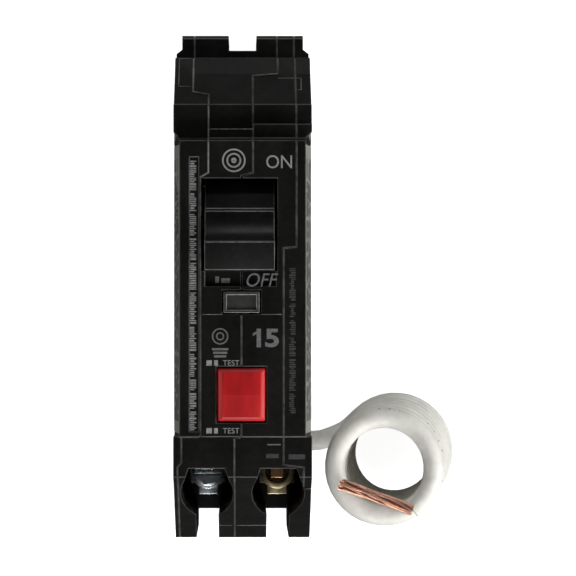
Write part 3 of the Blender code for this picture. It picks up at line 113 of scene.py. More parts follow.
def taken_from(node):
    """The node's mesh with its loose triangles joined."""
    bm = bmesh.new()
    bm.from_mesh(frame["nodes"][node].data)
    bmesh.ops.remove_doubles(bm, verts=bm.verts, dist=NODE_MERGE)
    return bm


def ease_edges(bm, width, angle=30, segments=2):
    """Rounds the edges that turn more than the angle, and returns the faces that this makes."""
    limit = math.radians(angle)
    sharp = [edge for edge in bm.edges if edge.is_manifold and edge.calc_face_angle() > limit]
    made = bmesh.ops.bevel(bm, geom=sharp, offset=width, offset_type="OFFSET", affect="EDGES",
                           segments=segments, profile=0.5, material=-1, clamp_overlap=False)
    return made["faces"]


def eased_copy(node, width, *finishes, angle=30, segments=2, crease=20):
    """A finished stand-in for one node: its shape with eased edges, which may have their own finish."""
    bm = taken_from(node)
    for face in ease_edges(bm, width, angle, segments):
        face.material_index = len(finishes) - 1
    piece = add_piece(node + "_finished", bm, BODY_OF[node], SLOT_OF[node], *finishes, crease=crease)
    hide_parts(node)
    return piece


def add_box(bm, low, high):
    """A box between two corners."""
    low, high = Vector(low), Vector(high)
    size = Matrix.Diagonal((*(high - low), 1))
    made = bmesh.ops.create_cube(bm, size=1, matrix=Matrix.Translation((low + high) / 2) @ size)
    return made["verts"]


def spin_profile(bm, profile, place, steps=48):
    """Turns a profile of (radius, height) points about its own axis, then puts it in place."""
    verts = [bm.verts.new((radius, 0, height)) for radius, height in profile]
    edges = [bm.edges.new(pair) for pair in zip(verts, verts[1:])]
    bmesh.ops.spin(bm, geom=verts + edges, cent=(0, 0, 0), axis=(0, 0, 1), angle=math.tau, steps=steps,
                   use_merge=True, use_normal_flip=False)
    bmesh.ops.remove_doubles(bm, verts=bm.verts, dist=MERGE)
    bmesh.ops.recalc_face_normals(bm, faces=bm.faces)
    bmesh.ops.transform(bm, matrix=place, verts=bm.verts)


def round_curve(name, paths, thickness, resolution):
    """A curve object of round wires that follow lists of points."""
    curve = bpy.data.curves.new(name, "CURVE")
    curve.dimensions = "3D"
    curve.bevel_depth = thickness / 2
    curve.bevel_resolution = resolution
    curve.use_fill_caps = True
    for path in paths:
        spline = curve.splines.new("POLY")
        spline.points.add(len(path) - 1)
        spline.use_smooth = True
        for point, place in zip(spline.points, path):
            point.co = (*place, 1)
    return link_new(name, curve)


def turned_to_mesh(holder, tolerance):
    """The bmesh that a curve object makes, with its doubles merged. The object is removed."""
    mesh = bpy.data.meshes.new_from_object(holder.evaluated_get(bpy.context.evaluated_depsgraph_get()))
    bpy.data.objects.remove(holder)
    bm = bmesh.new()
    bm.from_mesh(mesh)
    bmesh.ops.remove_doubles(bm, verts=bm.verts, dist=tolerance)
    return bm


def wire_mesh(name, paths, thickness, sides=8):
    """A bmesh of round wires that follow lists of points."""
    bm = turned_to_mesh(round_curve(name, paths, thickness, max(0, sides // 2 - 2)), MERGE)
    bmesh.ops.recalc_face_normals(bm, faces=bm.faces)
    return bm


def smooth_route(points, spacing):
    """Even points along a smooth curve through the given ones."""
    points = [Vector(point) for point in points]
    padded = [2 * points[0] - points[1], *points, 2 * points[-1] - points[-2]]
    fine = []
    steps = 24
    for a, b, c, d in zip(padded, padded[1:], padded[2:], padded[3:]):
        for i in range(steps):
            t = i / steps
            fine.append(0.5 * (2 * b + (c - a) * t + (2 * a - 5 * b + 4 * c - d) * t ** 2
                               + (3 * b - a - 3 * c + d) * t ** 3))
    fine.append(points[-1])
    lengths = [0.0]
    for start, end in zip(fine, fine[1:]):
        lengths.append(lengths[-1] + (end - start).length)
    count = max(2, round(lengths[-1] / spacing))
    route = []
    index = 0
    for i in range(count + 1):
        goal = lengths[-1] * i / count
        while index < len(fine) - 2 and lengths[index + 1] < goal:
            index += 1
        span = lengths[index + 1] - lengths[index]
        route.append(fine[index].lerp(fine[index + 1], (goal - lengths[index]) / span))
    return route


# ---- finishes

class Value:
    """One socket of a finish, so that shader maths reads as plain expressions."""

    def __init__(self, finish, socket):
        self.finish = finish
        self.socket = socket

    def maths(self, operation, first, second):
        node = self.finish.node("ShaderNodeMath", {"operation": operation}, {0: first, 1: second})
        return Value(self.finish, node.outputs[0])

    def __add__(self, other):
        return self.maths("ADD", self, other)

    def __mul__(self, other):
        return self.maths("MULTIPLY", self, other)

    __radd__ = __add__
    __rmul__ = __mul__

    def between(self, low, high):
        """0 below low, 1 above high, and a smooth rise from one to the other."""
        node = self.finish.node("ShaderNodeMapRange", {"interpolation_type": "SMOOTHSTEP"},
                                {"Value": self, "From Min": low, "From Max": high})
        return Value(self.finish, node.outputs["Result"])


class NodeMaker:
    """Adds nodes to one tree."""

    def __init__(self, tree):
        self.tree = tree

    def node(self, kind, settings=None, inputs=None):
        """A new node of that kind, with its settings made before its sockets are fed."""
        node = self.tree.nodes.new(kind)
        for name, value in (settings or {}).items():
            if name == "stops":
                ramp = node.color_ramp.elements
                while len(ramp) < len(value):
                    ramp.new(1.0)
                for element, (position, shade_there) in zip(ramp, value):
                    element.position = position
                    element.color = (shade_there, shade_there, shade_there, 1)
            else:
                setattr(node, name, value)
        for name, value in (inputs or {}).items():
            self.feed(node.inputs[name], value)
        return node

    def feed(self, socket, value):
        """Links a value to a socket, or sets a plain number or colour on it."""
        if isinstance(value, Value):
            self.tree.links.new(value.socket, socket)
        elif isinstance(value, tuple) and len(value) == 3 and socket.type == "RGBA":
            socket.default_value = (*value, 1)
        else:
            socket.default_value = value


class Finish(NodeMaker):
    """A material whose colour, roughness and relief vary over the surface."""

    def __init__(self, **constants):
        self.material = bpy.data.materials.new("finish")
        self.material.use_nodes = True
        super().__init__(self.material.node_tree)
        self.shader = self.tree.nodes["Principled BSDF"]
        self.place = Value(self, self.node("ShaderNodeTexCoord").outputs["Object"])
        for socket, value in constants.items():
            self.shader.inputs[socket.replace("_", " ")].default_value = value

    def noise(self, size, detail=2.0, stretch=(1, 1, 1), contrast=1.0):
        """Cloudy noise from 0 to 1 whose features are about that size."""
        node = self.node("ShaderNodeMapping", {"vector_type": "POINT"},
                         {"Vector": self.place, "Scale": stretch})
        spots = self.node("ShaderNodeTexNoise", {"noise_dimensions": "3D"},
                          {"Vector": Value(self, node.outputs[0]), "Scale": 1 / size, "Detail": detail})
        value = Value(self, spots.outputs[0])
        return value.between(0.5 - 0.25 / contrast, 0.5 + 0.25 / contrast)

    def mix(self, factor, first, second):
        """A colour between two colours."""
        node = self.node("ShaderNodeMix", {"data_type": "RGBA"}, {0: factor, 6: first, 7: second})
        return Value(self, node.outputs[2])

    def bands(self, direction, width):
        """Even bands across one axis, from 0 to 1."""
        node = self.node("ShaderNodeTexWave", {"wave_type": "BANDS", "bands_direction": direction},
                         {"Vector": self.place, "Scale": 0.5 / width})
        return Value(self, node.outputs[1])

    def relief(self, height, depth):
        """Gives the surface that relief, as deep as depth where height is 1."""
        node = self.node("ShaderNodeBump", {}, {"Height": height, "Distance": depth, "Strength": 1.0})
        self.tree.links.new(node.outputs[0], self.shader.inputs["Normal"])

    def done(self, colour, roughness):
        """Feeds the colour and the roughness, and hands over the material."""
        self.feed(self.shader.inputs["Base Color"], colour)
        self.feed(self.shader.inputs["Roughness"], roughness)
        return self.material


def shade(colour, factor):
    """A colour made darker or lighter."""
    return tuple(min(1.0, part * factor) for part in colour)


def moulded(colour, roughness, grain=0.22 * MM, depth=0.004 * MM, gloss=0.35):
    """Moulded plastic: a fine spark-eroded grain, cloudy flow marks and a little dust."""
    finish = Finish(Specular_IOR_Level=gloss)
    flow = finish.noise(5 * MM, 3.0, (1, 0.35, 1))
    specks = finish.noise(grain, 1.0)
    dust = finish.noise(1.1 * MM, 4.0, contrast=1.6)
    body = finish.mix(flow, shade(colour, 0.8), shade(colour, 1.35))
    dusty = finish.mix(dust * 0.015, body, (0.16, 0.155, 0.145))
    finish.relief(specks + flow * 0.6, depth)
    return finish.done(dusty, roughness - 0.05 + 0.10 * flow + 0.06 * specks)


def edge_wear_and_highlight(colour):
    """Paler plastic along the eased edges and seams, patchy with scuffs and rubbing; on the case, handle
    and window edges the paler colour is a painted highlight.
    """
    finish = Finish()
    rub = finish.noise(0.9 * MM, 3.0, contrast=1.3)
    scuff = finish.noise(4 * MM, 2.0)
    pale = finish.mix(rub * 0.5 + scuff * 0.5, shade(colour, 0.3), shade(colour, 1.6))
    finish.relief(rub, 0.004 * MM)
    return finish.done(pale, 0.40 + 0.18 * rub)


def paper_label(colour):
    """Coated paper: fine fibres, faint stains and a slight sheen."""
    finish = Finish(Specular_IOR_Level=0.4)
    fibre = finish.noise(0.16 * MM, 2.0, (1, 1, 0.3))
    stain = finish.noise(7 * MM, 3.0)
    sheet = finish.mix(fibre * 0.5 + stain * 0.5, shade(colour, 0.82), shade(colour, 1.1))
    finish.relief(fibre, 0.003 * MM)
    return finish.done(sheet, 0.5 + 0.14 * stain)


def printed_ink(colour):
    """Printing ink, thinner in places."""
    finish = Finish()
    thin = finish.noise(0.35 * MM, 2.0, contrast=1.2)
    finish.relief(thin, 0.002 * MM)
    return finish.done(finish.mix(thin, shade(colour, 0.72), shade(colour, 1.15)), 0.5 + 0.1 * thin)


def metal(colour, tarnish, roughness, brushed=(1, 1, 1), coat=0.0):
    """Plated or bare metal with fine draw marks and a patchy tarnish."""
    finish = Finish(Metallic=1.0, Coat_Weight=coat, Coat_Roughness=0.3)
    marks = finish.noise(0.12 * MM, 2.0, brushed)
    patch = finish.noise(1.6 * MM, 4.0, contrast=1.3)
    skin = finish.mix(patch * 0.8 + marks * 0.2, colour, tarnish)
    finish.relief(marks + patch * 0.4, 0.003 * MM)
    return finish.done(skin, roughness + 0.16 * patch + 0.05 * marks)


def insulation(colour):
    """Soft white insulation: a waxy skin with faint scuffs and handling marks."""
    finish = Finish(Specular_IOR_Level=0.45)
    scuff = finish.noise(1.4 * MM, 4.0, contrast=1.5)
    skin = finish.noise(0.3 * MM, 2.0)
    grime = finish.noise(6 * MM, 3.0, contrast=1.5)
    tone = finish.mix(grime * 0.55 + scuff * 0.25, colour, shade(colour, 0.74))
    finish.relief(skin * 0.5 + scuff, 0.008 * MM)
    return finish.done(tone, 0.38 + 0.16 * scuff)


def rubber(colour):
    """Dull rubber with a powdery bloom."""
    finish = Finish(Specular_IOR_Level=0.3)
    bloom = finish.noise(0.8 * MM, 4.0, contrast=1.4)
    finish.relief(bloom, 0.01 * MM)
    return finish.done(finish.mix(bloom, colour, shade(colour, 2.2)), 0.62 + 0.2 * bloom)


def frosted(colour):
    """A frosted plastic window, cloudy with fine prism lines."""
    finish = Finish(Coat_Weight=0.4, Coat_Roughness=0.12)
    cloud = finish.noise(1.2 * MM, 3.0)
    ribs = finish.bands("X", 0.35 * MM)
    finish.relief(ribs, 0.02 * MM)
    tone = finish.mix(cloud * 0.7 + ribs * 0.3, shade(colour, 0.75), shade(colour, 1.15))
    return finish.done(tone, 0.3 + 0.1 * cloud)


def fibreglass(colour):
    """Circuit board laminate: a woven cloth under green lacquer."""
    finish = Finish(Coat_Weight=0.5, Coat_Roughness=0.2)
    cloth = finish.bands("Y", 0.5 * MM) * finish.bands("Z", 0.5 * MM)
    finish.relief(cloth, 0.01 * MM)
    tone = finish.mix(cloth, shade(colour, 0.7), shade(colour, 1.3))
    return finish.done(tone, 0.35 + 0.1 * cloth)


FINISHES = {}


def build_finishes():
    """Makes each finish once, from the colours that the panel shows."""
    colours = bpy.context.scene.breaker_colours
    look = {name: tuple(getattr(colours, name)) for name in BreakerColours.__annotations__}
    steel_marks = (1, 1, 0.15)
    FINISHES.update(
        case_plastic=moulded(look["case"], 0.42, gloss=0.22),
        # Paler eased edges of the case: scuffing and a painted highlight.
        case_edge=edge_wear_and_highlight(look["case_edge"]),
        case_flash=edge_wear_and_highlight(look["flash"]),
        case_faint_flash=edge_wear_and_highlight(shade(look["flash"], 0.45)),
        handle_plastic=moulded(look["handle"], 0.36, 0.35 * MM, 0.002 * MM, gloss=0.14),
        # Paler eased edges of the handle: rubbing and a painted highlight.
        handle_edge=edge_wear_and_highlight(look["handle_edge"]),
        label_paper=paper_label(look["label"]),
        label_ink=printed_ink((0.03, 0.03, 0.032)),
        front_ink=printed_ink(look["front_ink"]),
        strip_ink=printed_ink(shade(look["front_ink"], 0.55)),
        faint_ink=printed_ink(shade(look["front_ink"], 0.16)),
        rivet_steel=metal((0.50, 0.50, 0.49), (0.20, 0.19, 0.18), 0.32, steel_marks),
        # Pale colour of the lens's eased rim: a painted highlight.
        lens_frame=edge_wear_and_highlight(look["lens_frame"]),
        lens_plastic=frosted(look["lens"]),
        lamp_plastic=frosted((0.55, 0.10, 0.08)),
        button_red=moulded(look["button"], 0.40, 0.3 * MM, 0.002 * MM, gloss=0.28),
        mechanism_steel=metal((0.55, 0.55, 0.54), (0.33, 0.31, 0.28), 0.30, steel_marks),
        copper=metal(look["copper"], shade(look["copper"], 0.45), 0.24),
        strand_copper=metal(look["strands"], shade(look["strands"], 0.5), 0.26),
        contact_silver=metal((0.80, 0.79, 0.76), (0.42, 0.38, 0.33), 0.34),
        bimetal=metal((0.60, 0.55, 0.48), (0.36, 0.30, 0.24), 0.32, steel_marks),
        board=fibreglass((0.03, 0.16, 0.07)),
        core_coating=moulded((0.04, 0.08, 0.22), 0.45, 0.5 * MM, 0.01 * MM),
        capacitor_sleeve=moulded((0.02, 0.03, 0.08), 0.36),
        varistor_coat=moulded((0.05, 0.12, 0.40), 0.48, 0.4 * MM, 0.012 * MM),
        chip=moulded((0.02, 0.02, 0.022), 0.5),
        coil_wire=metal((0.62, 0.26, 0.12), (0.35, 0.12, 0.06), 0.24, coat=0.6),
        plated_steel=metal(look["zinc"], shade(look["zinc"], 0.5), 0.20),
        brass=metal(look["brass"], shade(look["brass"], 0.42), 0.24),
        bushing_rubber=rubber((0.018, 0.018, 0.018)),
        wire_insulation=insulation(look["wire"]),
    )
    for name, material in FINISHES.items():
        material.name = name


# ---- settings

def setting(kind, **options):
    """A maker of settings of one kind, which takes their name, description and default."""
    return lambda name, description, default: kind(name=name, description=description, default=default,
                                                   **options)


length = setting(bpy.props.FloatProperty, unit="LENGTH", precision=5, min=0.0)
number = setting(bpy.props.FloatProperty)
place = setting(bpy.props.FloatVectorProperty, unit="LENGTH", precision=5, subtype="XYZ")
colour = setting(bpy.props.FloatVectorProperty, subtype="COLOR", min=0.0, max=1.0)


class BreakerColours(bpy.types.PropertyGroup):
    case: colour("Case", "Black moulding compound of the four shells", (0.0036, 0.0034, 0.0030))
    # Case edges: the paler colour is scuffing and a painted highlight on the eased edges.
    case_edge: colour("Case edges", "Scuffed edges and seam lips", (0.05, 0.05, 0.047))
    flash: colour("Flash", "Thin pale flash along the seams", (0.15, 0.15, 0.14))
    handle: colour("Handle", "Handle moulding", (0.0035, 0.0034, 0.0033))
    # Handle edges: the paler colour is rubbing and a painted highlight on the ridges.
    handle_edge: colour("Handle edges", "Rubbed edges of the handle", (0.10, 0.10, 0.095))
    label: colour("Label", "Paper of the two side labels", (0.27, 0.28, 0.245))
    front_ink: colour("Front ink", "Printing on the front face", (0.30, 0.30, 0.30))
    lens: colour("Lens", "Indicator window", (0.045, 0.045, 0.042))
    # Rim of the window: a painted highlight, a paler colour on the lens's eased edges.
    lens_frame: colour("Lens frame", "Rim of the indicator window", (0.26, 0.26, 0.245))
    button: colour("Button", "Test button", (0.46, 0.012, 0.014))
    zinc: colour("Zinc", "Plated steel of the left terminal", (0.76, 0.81, 0.83))
    brass: colour("Brass", "Brass of the right terminal", (0.86, 0.70, 0.42))
    copper: colour("Copper", "Copper of the right terminal's screw and the straps", (0.86, 0.48, 0.25))
    strands: colour("Strands", "Bare copper strands of the pigtail", (0.88, 0.50, 0.36))
    wire: colour("Wire", "Insulation of the pigtail", (0.90, 0.885, 0.825))


class BreakerEdges(bpy.types.PropertyGroup):
    shell: length("Shell edges", "Width of the shells' eased edges", 0.11 * MM)
    flash: length("Seam flash", "Width of the flash that closes the seams", 0.24 * MM)
    handle: length("Handle edges", "Width of the handle's eased edges", 0.13 * MM)
    button: length("Button edges", "Width of the button's rounded edges", 0.55 * MM)
    button_crown: length("Button crown", "Rise of the button from its ends to its middle", 0.35 * MM)
    small: length("Small edges", "Width of the eased edges on small metal pieces", 0.12 * MM)
    fine: length("Fine edges", "Width of the eased edges on thin metal pieces", 0.06 * MM)


class BreakerPigtail(bpy.types.PropertyGroup):
    diameter: length("Wire diameter", "Outside diameter of the insulation", 3.9 * MM)
    radius: length("Coil radius", "From the coil's axis to the middle of the wire", 9.55 * MM)
    pitch: length("Coil pitch", "Rise of the wire in one turn", 3.95 * MM)
    turns: setting(bpy.props.FloatProperty, min=1.0)("Coil turns", "Turns of the coil", 6.53)
    foot: place("Coil foot", "Centre of the coil's lowest turn", (30.4 * MM, -32.8 * MM, 2.0 * MM))
    lean: place("Coil lean", "From the centre of the lowest turn to that of the highest",
                (-3.5 * MM, -2.3 * MM, 0.0))
    strand: length("Strand diameter", "Diameter of one copper strand", 0.46 * MM)
    strip: place("Stripped end", "Free end of the copper strands", (18.3 * MM, -37.8 * MM, 29.0 * MM))


class BreakerStage(bpy.types.PropertyGroup):
    camera_height: length("Camera height", "Height of the camera above the case's rear face", 0.657)
    lens: number("Lens", "Focal length in millimetres", 205.9)
    shift: number("Shift", "Sideways shift of the camera's picture", 0.0788)
    floor: colour("Floor", "Plain floor under the breaker", (0.9, 0.9, 0.9))
    glow: setting(bpy.props.FloatProperty, min=0.0)("Floor glow", "Light that the floor gives by itself",
                                                    1.0)


# ---- camera and pigtail

CAMERA_Y = -0.6 * MM


class PlaceCamera(bpy.types.Operator):
    """Puts the camera straight above the front face."""
    bl_idname = "breaker.place_camera"
    bl_label = "Place camera"

    def execute(self, context):
        stage = context.scene.breaker_stage
        data = bpy.data.cameras.new("front_camera")
        data.lens = stage.lens
        data.sensor_width = 36.0
        data.shift_x = stage.shift
        data.clip_start = 0.01
        data.clip_end = 20.0
        camera = link_new("front_camera", data)
        camera.location = (0, CAMERA_Y, stage.camera_height)
        context.scene.camera = camera
        return {"FINISHED"}


EXIT_PLACE = Vector((SIDE_X + 0.2 * MM, LOAD_Y + 17.1 * MM, 5.2 * MM))
COIL_START = math.radians(135)
COIL_STEPS = 36
WIRE_ROUNDNESS = 8
LEAD_BENDS = ((1.4, 0.05, -0.1), (3.2, 0.3, -0.8), (7.4, 1.9, -2.7))
LEAD_PITCH = 0.8 * MM
STRAND_RINGS = ((0, 1), (1, 6), (2, 12))
STRAND_STEPS = 48
FRAYED_FROM, SPLAY, STRAY = 0.6, 0.55, 0.30 * MM
TWIST, RING_OFFSET, WAVINESS, PACKING = 0.24, 0.25, 0.20, 0.96


def coil_points(pigtail, start_angle, steps=COIL_STEPS):
    """The coil's centreline, clockwise as seen from the front, from its foot up."""
    count = round(pigtail.turns * steps)
    for i in range(count + 1):
        angle = start_angle - math.tau * i / steps
        centre = Vector(pigtail.foot) + Vector(pigtail.lean) * i / count
        rise = pigtail.pitch * i / steps
        around = Vector((math.cos(angle), math.sin(angle), 0)) * pigtail.radius
        yield centre + around + UP * rise


def lead_points(exit_place, coil_start):
    """The free run from the bushing to the coil, along the route of the case's own lead."""
    bends = [exit_place + Vector(bend) * MM for bend in LEAD_BENDS]
    return smooth_route([exit_place, *bends, coil_start], LEAD_PITCH)


def strand_paths(start, end, pigtail):
    """The stripped strands: two rings laid loosely round a middle one, wavy, and open at the free end."""
    along = end - start
    frame_turn = along.to_track_quat("Z", "Y").to_matrix()
    random.seed(11)
    paths = []
    for ring, count in STRAND_RINGS:
        for k in range(count):
            reach = 1.0 - random.uniform(0.0, 0.09)
            wander = random.uniform(0, math.tau)
            phase = random.uniform(0, math.tau)
            waves = random.uniform(0.7, 1.6)
            path = []
            for i in range(STRAND_STEPS + 1):
                t = i / STRAND_STEPS
                frayed = max(0.0, t - FRAYED_FROM)
                spread = 1 + SPLAY * frayed ** 1.5
                radius = ring * pigtail.strand * spread * PACKING
                angle = math.tau * (k / count + TWIST * t) + RING_OFFSET * ring
                angle += WAVINESS * math.sin(math.tau * waves * t + phase)
                side = Vector((math.cos(angle), math.sin(angle), 0)) * radius
                side += Vector((math.cos(wander), math.sin(wander), 0)) * STRAY * frayed
                path.append(start + along * t * reach + frame_turn @ side)
            paths.append(path)
    return paths


DOT_SHAPE = Matrix.Diagonal((1.3, 0.8, 0.15, 1))
DOTTED_TURNS = ((0.41, (0, 1, 2)), (1.29, (0, 1, 2, 3, 5, 6)))


def wire_dots(coil, pigtail, steps=COIL_STEPS):
    """Small dark dots on the outer shoulder of the coil's two top turns."""
    bm = bmesh.new()
    random.seed(3)
    last = len(coil) - 1
    for turns_down, spots in DOTTED_TURNS:
        first = last - round(turns_down * steps)
        for spot in spots:
            index = first + spot
            here = coil[index]
            heading = (coil[index + 1] - coil[index - 1]).normalized()
            outward = heading.cross(UP).normalized()
            centre = Vector(pigtail.foot) + Vector(pigtail.lean) * index / last
            if outward.dot(Vector((here.x - centre.x, here.y - centre.y, 0))) < 0:
                outward = -outward
            rise = math.radians(random.uniform(24, 34))
            normal = outward * math.cos(rise) + UP * math.sin(rise)
            turn = normal.to_track_quat("Z", "Y").to_matrix().to_4x4()
            size = random.uniform(0.10, 0.19) * MM
            place = Matrix.Translation(here + normal * pigtail.diameter / 2) @ turn @ DOT_SHAPE
            bmesh.ops.create_icosphere(bm, subdivisions=2, radius=size, matrix=place)
    return bm


class CoilPigtail(bpy.types.Operator):
    """Winds the white neutral lead and lays its stripped copper end across the coil."""
    bl_idname = "breaker.coil_pigtail"
    bl_label = "Coil pigtail"

    def execute(self, context):
        pigtail = context.scene.breaker_pigtail
        coil = list(coil_points(pigtail, COIL_START))
        route = lead_points(EXIT_PLACE, coil[0])[:-1] + coil
        wire = round_curve("pigtail_wire", [route], pigtail.diameter, WIRE_ROUNDNESS)
        wire.data.materials.append(FINISHES["wire_insulation"])
        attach(wire, "case")
        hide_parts("pigtail_lead", "pigtail_coil")

        start = Vector((coil[-1].x, coil[-1].y, pigtail.strip[2]))
        paths = strand_paths(start, Vector(pigtail.strip), pigtail)
        strands = wire_mesh("pigtail_copper", paths, pigtail.strand)
        copper = add_piece("pigtail_copper", strands, "case", "copper", FINISHES["strand_copper"],
                           crease=60)
        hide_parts("pigtail_strands")
        # Dark dots on the top turns of the coil, in the black finish of the labels' print.
        dots = add_piece("pigtail_print", wire_dots(coil, pigtail), "case", "wire_insulation",
                         FINISHES["label_ink"])

        eased_copy("pigtail_bushing", 0.15 * MM, FINISHES["bushing_rubber"])
        total = sum((b - a).length for a, b in zip(route, route[1:]))
        return {"FINISHED"}


# ---- case

class MouldShells(bpy.types.Operator):
    """Eases the edges of the four shells and gives them a paler colour, which is scuffing and a painted
    highlight, so that their seams show as pale lines.
    """
    bl_idname = "breaker.mould_shells"
    bl_label = "Mould shells"

    def execute(self, context):
        width = context.scene.breaker_edges.shell
        for node in SHELLS:
            eased_copy(node, width, FINISHES["case_plastic"], FINISHES["case_edge"], angle=15, crease=6)
        return {"FINISHED"}


def shell_surface():
    """A search tree over the four shells."""
    bm = bmesh.new()
    for node in SHELLS:
        bm.from_mesh(frame["nodes"][node].data)
    tree = BVHTree.FromBMesh(bm)
    bm.free()
    return tree


DRAPE_PITCH = 0.4 * MM
RAY_FROM = 0.1


def draped(tree, corners, lift, reach=0.25 * MM, rear=False):
    """Points along a line of corners in millimetres, laid on the outermost surface beside each."""
    corners = [(x * MM, y * MM) for x, y in corners]
    outward = -1 if rear else 1
    line = []
    for start, end in zip(corners, corners[1:]):
        start, end = Vector(start), Vector(end)
        count = max(1, round((end - start).length / DRAPE_PITCH))
        line += [start.lerp(end, i / count) for i in range(count)]
    line.append(Vector(corners[-1]))
    points = []
    for spot in line:
        heights = []
        for dx, dy in ((reach, 0), (-reach, 0), (0, reach), (0, -reach)):
            above = Vector((spot.x + dx, spot.y + dy, outward * RAY_FROM))
            hit = tree.ray_cast(above, Vector((0, 0, -outward)))[0]
            if hit is not None:
                heights.append(outward * hit.z)
        if heights:
            points.append(Vector((spot.x, spot.y, outward * (max(heights) + lift))))
    return points


def seam_lines():
    """The seams between the shells in the front view: the pale ones at the line end, then the rest."""
    nose_end = -27.8
    window = 19.4
    pale = [[(-9.2, 47.8), (-9.2, 35.8), (-6.25, 35.2), (-6.25, window + 1.0), (-7.7, window + 0.2)],
            [(6.6, 39.5), (1.9, 39.1)]]
    faint = [[(-7.7, window + 0.2), (-7.7, nose_end), (-11.2, nose_end), (-11.2, nose_end - 4.8),
              (-11.9, nose_end - 5.6), (-11.9, -47.8)],
             [(6.6, 47.8), (6.6, 39.5)],
             [(1.9, 39.1), (1.9, window + 1.0), (0.9, window + 0.7)],
             [(-0.2, -1.3), (-0.2, nose_end), (-1.5, nose_end - 0.3), (-1.5, -47.8)],
             [(9.85, 47.8), (9.85, 6.85), (7.5, 6.65), (7.5, nose_end - 5.2), (11.2, nose_end - 5.7),
              (11.2, nose_end - 9.8), (12.6, nose_end - 9.8)]]
    return pale, faint


FLASH_SINK, REAR_SINK = 0.3, 0.5
PARTING_LINES = (((-9.2, 42.6), (-11.9, 42.6), (-11.9, 36.9), (-9.2, 36.9)),
                 ((6.6, 38.6), (10.9, 38.6), (10.9, 36.2), (9.85, 36.2)),
                 ((-7.7, -5.4), (-3.7, -5.4)), ((3.4, -5.4), (7.5, -5.4)),
                 ((-1.5, -45.3), (-4.4, -45.3)), ((-1.5, -45.3), (4.4, -45.3)),
                 ((-6.2, 28.45), (1.8, 28.45)), ((-11.6, -37.6), (-9.5, -37.6)))


class FillSeams(bpy.types.Operator):
    """Lays the thin flash that closes the seams, and the fine parting lines of the mouldings."""
    bl_idname = "breaker.fill_seams"
    bl_label = "Fill seams"

    def lay(self, name, paths, width, finish):
        bm = wire_mesh(name, paths, width, sides=6)
        add_piece(name, bm, "case", "case_plastic", FINISHES[finish])

    def execute(self, context):
        tree = shell_surface()
        width = context.scene.breaker_edges.flash
        pale, faint = seam_lines()
        for name, lines, finish in (("seam_flash_line_end", pale, "case_flash"),
                                    ("seam_flash", faint, "case_faint_flash")):
            self.lay(name, [draped(tree, line, -FLASH_SINK * width) for line in lines], width, finish)
        rear = [draped(tree, line, -REAR_SINK * width, rear=True) for line in pale + faint]
        self.lay("seam_flash_rear", rear, width, "case_faint_flash")

        lines = [draped(tree, patch, 0.0, reach=0.01 * MM) for patch in PARTING_LINES]
        self.lay("parting_lines", lines, 0.6 * width, "case_flash")
        return {"FINISHED"}


ONTO_X = Matrix.Rotation(math.pi / 2, 4, "Y")
RIVET_SHANK = 1.4 * MM
RIVET_BORE = 0.75 * MM
RIVET_HEAD_HEIGHT = 0.8 * MM


class SetRivets(bpy.types.Operator):
    """Rolls both heads of the four hollow rivets."""
    bl_idname = "breaker.set_rivets"
    bl_label = "Set rivets"

    def execute(self, context):
        for number in range(1, 5):
            node = f"case_rivet_{number}"
            low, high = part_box(node)
            half = (high.x - low.x) / 2
            head = (high.y - low.y) / 2
            crown = [(RIVET_BORE, half - 0.5 * MM), (RIVET_BORE + 0.12 * MM, half - 0.12 * MM),
                     (RIVET_BORE + 0.45 * MM, half), (head - 0.7 * MM, half - 0.04 * MM),
                     (head - 0.25 * MM, half - 0.22 * MM), (head, half - 0.6 * MM),
                     (head, half - RIVET_HEAD_HEIGHT), (RIVET_SHANK, half - RIVET_HEAD_HEIGHT)]
            floor = [(0.0, half - 0.9 * MM), (RIVET_BORE - 0.1 * MM, half - 0.8 * MM)]
            end = floor + crown
            profile = end + [(radius, -spot) for radius, spot in reversed(end)]
            bm = bmesh.new()
            spin_profile(bm, profile, Matrix.Translation((low + high) / 2) @ ONTO_X)
            rivet = add_piece(f"rivet_{number}", bm, BODY_OF[node], SLOT_OF[node], FINISHES["rivet_steel"])
            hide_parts(node)
        return {"FINISHED"}


LABEL_ROOT = 46.0 * MM
LABEL_SLOPE = 1.2 / 11.0
LABEL_MARGIN = 2.2 * MM
LABEL_LINE = 1.9 * MM
LABEL_LEFT_OUT = (2.5, 6.0, 14.0)
LABEL_LIFT = 0.012 * MM
BLOCK_ROWS = 7
MARK_START, MARK_END, MARK_TOP, MARK_MIDDLE = 9.4 * MM, 17.2 * MM, 54.8 * MM, 52.6 * MM


